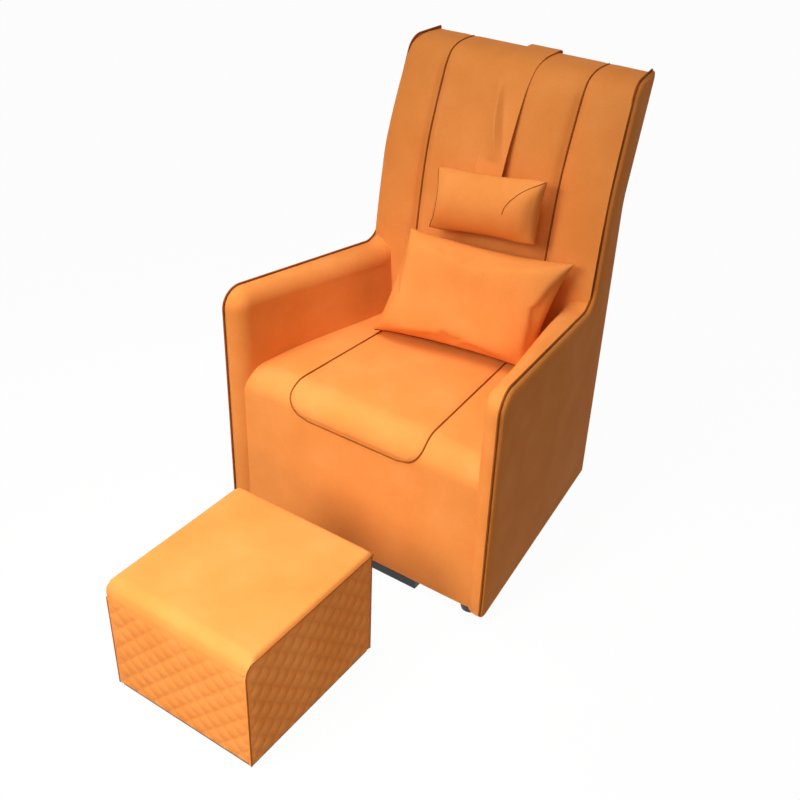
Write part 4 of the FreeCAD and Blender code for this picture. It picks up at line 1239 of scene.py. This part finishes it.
@dataclass
class Footstool(Maker):
    """The loose footstool: quilted sides, soft top, dark seams."""

    left: float = -156.0
    right: float = 220.0
    front: float = -619.5
    rear: float = -218.5
    low: float = 13.0
    high: float = 293.0
    top: float = 307.0
    puff: float = 5.5
    front_puff: float = 3.2
    # Diamonds along a side and up it
    columns: float = 8.0
    rows: float = 5.7
    # How far the top rolls over at its left, right, front and rear
    left_roll: float = 16.0
    right_roll: float = 9.0
    front_roll: float = 34.0
    rear_roll: float = 16.0
    # How far the top reaches past the sides across and along, and how far it lies back
    overhang: tuple[float, float] = (3.5, 2.2)
    set_back: float = 1.3
    crown: float = 5.0
    # The size of the top's corners, and the share by which they are drawn in
    corner: float = 26.0
    corner_draw: float = 0.012
    seam: float = 3.0

    def side_high(self, base: Vector) -> float:
        """How high the sides reach at a place, lower at the front, where the top rolls over."""
        near = max(self.front_roll - (base.y - self.front), 0.0)
        return self.high - max(self.front_roll - 6 - math.sqrt(max(self.front_roll ** 2 - near ** 2, 0.0)), 0.0)

    def quilt(self, start: Vector, end: Vector, out: Vector, puff: float) -> BMesh:
        """A side stitched in diamonds.

        Args:
            start: Its lower left corner as seen from outside, in millimetres of the chair.
            end: Its lower right corner.
            out: The way it faces.
            puff: How far its diamonds swell.

        Returns:
            The side's outer face.
        """
        def place(u: float, v: float) -> Vector:
            """A place on the quilting, which is drawn in at its rim."""
            base = start.lerp(end, u)
            up = self.low + (self.side_high(base) - self.low) * v
            rows = self.rows * (up - self.low) / (self.high - self.low)
            a, b = u * self.columns + rows, u * self.columns - rows
            cell = abs(math.sin(math.pi * a)) * abs(math.sin(math.pi * b))
            rim = min(1.0, min(u, 1 - u) * 30, v * 30, (1 - v) * 14)
            base += out * (puff * cell ** 0.6 * rim - 1.5 * (1 - rim))
            return spot(base.x, base.y, up)

        return grid(112, 88, place)

    def build(self) -> None:
        """Makes the stool's soft pieces."""
        corners = [Vector((x, y, 0)) for x, y in ((self.left, self.front), (self.right, self.front),
                                                  (self.right, self.rear), (self.left, self.rear))]
        ways = {"front": (0, -1, 0), "right": (1, 0, 0), "rear": (0, 1, 0), "left": (-1, 0, 0)}
        for index, (word, out) in enumerate(ways.items()):
            puff = self.front_puff if word == "front" else self.puff
            bm = self.quilt(corners[index], corners[(index + 1) % 4], Vector(out), puff)
            self.shop.piece(f"stool_{word}_quilting", bm, "footstool", [f"stool_{word}_panel"], fill=0.5, wall=7.0)
        centre = Vector((self.left + self.right, self.front + self.rear, 0)) / 2
        for index, corner in enumerate(corners):
            # The seams lie a little inside the corners and end under the top
            inside = centre - corner
            foot = corner + Vector((math.copysign(0.4, inside.x), math.copysign(0.4, inside.y), 0))
            reach = self.side_high(corner) - 4 - self.low
            line = [spot(foot.x, foot.y, self.low + reach * step / 12) for step in range(13)]
            self.shop.welt(f"stool_corner_seam_{index + 1}", line, self.seam, "footstool",
                           stands_for=() if index else ["stool_corner_cords"])
        self.build_top(centre)

    def build_top(self, centre: Vector) -> None:
        """Makes the soft top and its seam.

        Args:
            centre: The stool's middle, in millimetres of the chair.
        """
        halves = ((self.right - self.left) / 2 + self.overhang[0], (self.rear - self.front) / 2 + self.overhang[1])
        rolls = ((0, -1, self.left_roll), (0, 1, self.right_roll), (1, -1, self.front_roll), (1, 1, self.rear_roll))

        def place(u: float, v: float) -> Vector:
            """A place of the top, which is crowned and rolls over at its rim."""
            sides = [math.copysign(abs(part * 2 - 1) ** 0.8, part * 2 - 1) for part in (u, v)]
            falls = []
            for axis, sign, roll in rolls:
                near = (1 - sign * sides[axis]) * halves[axis]
                falls.append(roll - math.sqrt(max(roll ** 2 - max(roll - near, 0.0) ** 2, 0.0)))
            fall = max(falls) + self.crown * max(abs(side) for side in sides) ** 3
            corner = min(max(abs(side) * half - half + self.corner, 0.0) for side, half in zip(sides, halves))
            drawn = 1 - self.corner_draw * corner / self.corner
            x, y = (side * half * drawn for side, half in zip(sides, halves))
            where = spot(centre.x + x, centre.y + self.set_back + y, self.top - fall)
            return uneven(where, (0, 0, 1), 120, 0.8)

        self.shop.piece("stool_soft_top", grid(90, 90, place), "footstool", ["stool_top_cover"], fill=0.8, wall=6.0)
        seam = []
        for step in range(41):
            run = (self.rear - self.front) * (step / 40) ** 1.6
            # The seam draws in with the top round its front corner
            base = Vector((self.right + 3.4 - 2.8 * max(1 - run / self.corner, 0.0), self.front + run, 0))
            seam.append(spot(base.x, base.y, self.side_high(base) - 1.0))
        self.shop.welt("stool_top_seam", seam, self.seam, "footstool")


@dataclass
class Underside(Maker):
    """The dust cloth stapled under the seat."""

    front: float = 22.0
    rear: float = 621.0
    up: float = 29.0
    sag: float = 3.0
    inside: float = 30.0

    def build(self) -> None:
        """Makes the cloth."""
        def place(u: float, v: float) -> Vector:
            """A place of the cloth, which hangs a little in its middle."""
            depth = self.front + (self.rear - self.front) * v
            hang = self.sag * math.sin(math.pi * u) * math.sin(math.pi * v)
            return spot(-(u * 2 - 1) * inner_half(depth, self.inside), depth, self.up - hang)

        width = 2 * inner_half((self.front + self.rear) / 2, self.inside) * MM
        cloth = self.shop.piece("dust_cloth", grid(40, 40, place), "chair", ["dust_cover"], slot=Slot.DUST)


@dataclass(frozen=True)
class Lamp:
    """A soft box; its place, aim and size are metres, and its grid lets light out over an angle in degrees."""

    name: str
    place: Place
    aim: Place
    size: float
    watts: float
    spread: float
    colour: str

    def build(self) -> None:
        """Hangs the lamp."""
        data = bpy.data.lights.new(self.name, "AREA")
        data.size = self.size
        data.energy = self.watts
        data.spread = math.radians(self.spread)
        data.color = linear(self.colour)[:3]
        turn = (Vector(self.aim) - Vector(self.place)).to_track_quat("-Z", "Y").to_matrix().to_4x4()
        put(self.name, data).matrix_world = Matrix.Translation(self.place) @ turn


@dataclass
class Studio:
    """Camera, soft light and white floor."""

    focal_px: float = 1078.3
    picture_px: float = 800.0
    yaw: float = 33.528
    pitch: float = 33.321
    roll: float = 2.165
    stand: Place = (1218.0, -1633.1, 1814.6)
    shift: tuple[float, float] = (-0.0022, 0.0037)
    tint: str = "#FFF0E0"
    world_lit: float = 0.29
    floor_lit: float = 0.24
    # How much of the floor is lit by itself
    floor_own: float = 0.97
    lamps: tuple[Lamp, ...] = (
        Lamp("key_box", (-0.5, -2.4, 1.95), (0.08, -0.42, 0.15), 1.4, 10.9, 58.0, "#FFFAF6"),
        Lamp("top_box", (-0.2, -0.6, 2.7), (-0.05, -0.5, 0.3), 1.5, 13.6, 90.0, "#F8F9FF"),
        Lamp("side_box", (1.3, -1.9, 0.9), (0.2, -0.55, 0.1), 0.5, 0.6, 36.0, "#FFF6EC"))

    def build_camera(self) -> None:
        """Sets the camera where the photograph was taken from."""
        data = bpy.data.cameras.new("camera")
        data.sensor_width = 36.0
        data.lens = self.focal_px / self.picture_px * data.sensor_width
        data.shift_x, data.shift_y = self.shift
        turn = turned(("Z", self.yaw), ("X", 90 - self.pitch), ("Z", self.roll)).to_4x4()
        camera = put("camera", data)
        camera.matrix_world = Matrix.Translation(spot(*self.stand)) @ turn
        bpy.context.scene.camera = camera

    def background(self, tree: NodeTree, lit: float, kind: str) -> NodeSocket:
        """A light that the eye, gloss and glass see as white.

        Args:
            tree: The nodes of the world or floor.
            lit: Its strength for other rays.
            kind: The emitting node's type.

        Returns:
            What it emits.
        """
        path = add_node(tree, "LightPath")
        seen = path.outputs["Is Camera Ray"]
        for ray in ("Is Glossy Ray", "Is Transmission Ray"):
            seen = add_node(tree, "Math", {"operation": "MAXIMUM"}, {0: seen, 1: path.outputs[ray]}).outputs["Value"]
        strength = add_node(tree, "MapRange", {"To Min": lit, "To Max": 1.0}, {"Value": seen})
        colour = add_node(tree, "Mix", {"data_type": "RGBA", 6: linear(self.tint), 7: linear("#FFFFFF")}, {0: seen})
        return add_node(tree, kind, {}, {"Color": colour.outputs[2], "Strength": strength.outputs["Result"]}).outputs[0]

    def build(self) -> None:
        """Sets camera, world, lamps and floor."""
        self.build_camera()
        scene = bpy.context.scene
        scene.view_settings.view_transform = "Standard"
        world = bpy.data.worlds.new("studio")
        world.use_nodes = True
        world.node_tree.nodes.clear()
        glow = self.background(world.node_tree, self.world_lit, "Background")
        add_node(world.node_tree, "OutputWorld", {}, {"Surface": glow})
        scene.world = world
        for lamp in self.lamps:
            lamp.build()
        self.build_floor()

    def build_floor(self) -> None:
        """Lays the white floor, which keeps the chair's shadow."""
        bm = bmesh.new()
        bmesh.ops.create_grid(bm, x_segments=2, y_segments=2, size=9.0)
        bmesh.ops.translate(bm, verts=bm.verts[:], vec=Vector((0, 0, -0.6 * MM)))
        floor = put("floor", mesh_of("floor", bm))
        # Matt white paper: mostly lit by itself for the eye, so that it stays white and shows a faint shadow
        material, tree = new_material("white_paper")
        glow = self.background(tree, self.floor_lit, "Emission")
        matt = add_node(tree, "BsdfDiffuse", {"Color": linear("#E6E6E6")})
        both = add_node(tree, "MixShader", {0: self.floor_own}, {1: matt.outputs[0], 2: glow})
        add_node(tree, "OutputMaterial", {}, {"Surface": both.outputs[0]})
        floor.data.materials.append(material)


def pillows(shop: Workshop) -> tuple[Pillow, ...]:
    """The chair's pillows and the strap's weight.

    Args:
        shop: Where they are made.

    Returns:
        The pillows, in the order in which they are made.
    """
    flap = ((0.97, 0.94), (0.68, 0.64), (0.5, 0.25), (0.46, -0.04))
    end = ((-0.97, 0.94), (-0.84, 0.45), (-0.8, 0.0), (-0.84, -0.45), (-0.97, -0.94))
    hem = ((-0.97, -0.99), (-0.5, -0.955), (0.0, -0.94), (0.5, -0.955), (0.97, -0.99))
    return (
        Pillow(shop, "head_pillow", "head_pillow", ("head_pillow_cover", "head_pillow_filling"), 298, 158, 92,
               turned(("X", -6), ("Y", -7)), slump=28, cap=4, plump=(6, 2), shift=(7, -10, 14), seams=(flap, end)),
        Pillow(shop, "lumbar_pillow", "lumbar_pillow", ("lumbar_pillow_cover", "lumbar_pillow_filling"), 428, 282, 116,
               turned(("Z", 9), ("X", -15)), slump=62, columns=72, cap=12, fill=0.75, ears=0.035, shift=(12, 0, 12),
               seams=(hem,)),
        Pillow(shop, "strap_weight_bag", "counterweight", ("counterweight",), 84, 110, 30, turned(), columns=28, cap=6))


def main() -> None:
    """Builds the chair's pieces in order and reports them."""
    logging.basicConfig(level=logging.INFO, format="%(message)s")
    palette = Palette()
    palette.build()
    shop = Workshop(palette)
    Studio().build()
    shop.dress()
    sides = [Armside(shop, hand) for hand in Hand]
    for maker in (*sides, Seat(shop), Back(shop), Strap(shop), *pillows(shop), Footstool(shop), Underside(shop)):
        maker.build()
    log.info("%d pieces", len(shop.pieces))


if __name__ == "__main__":
    main()
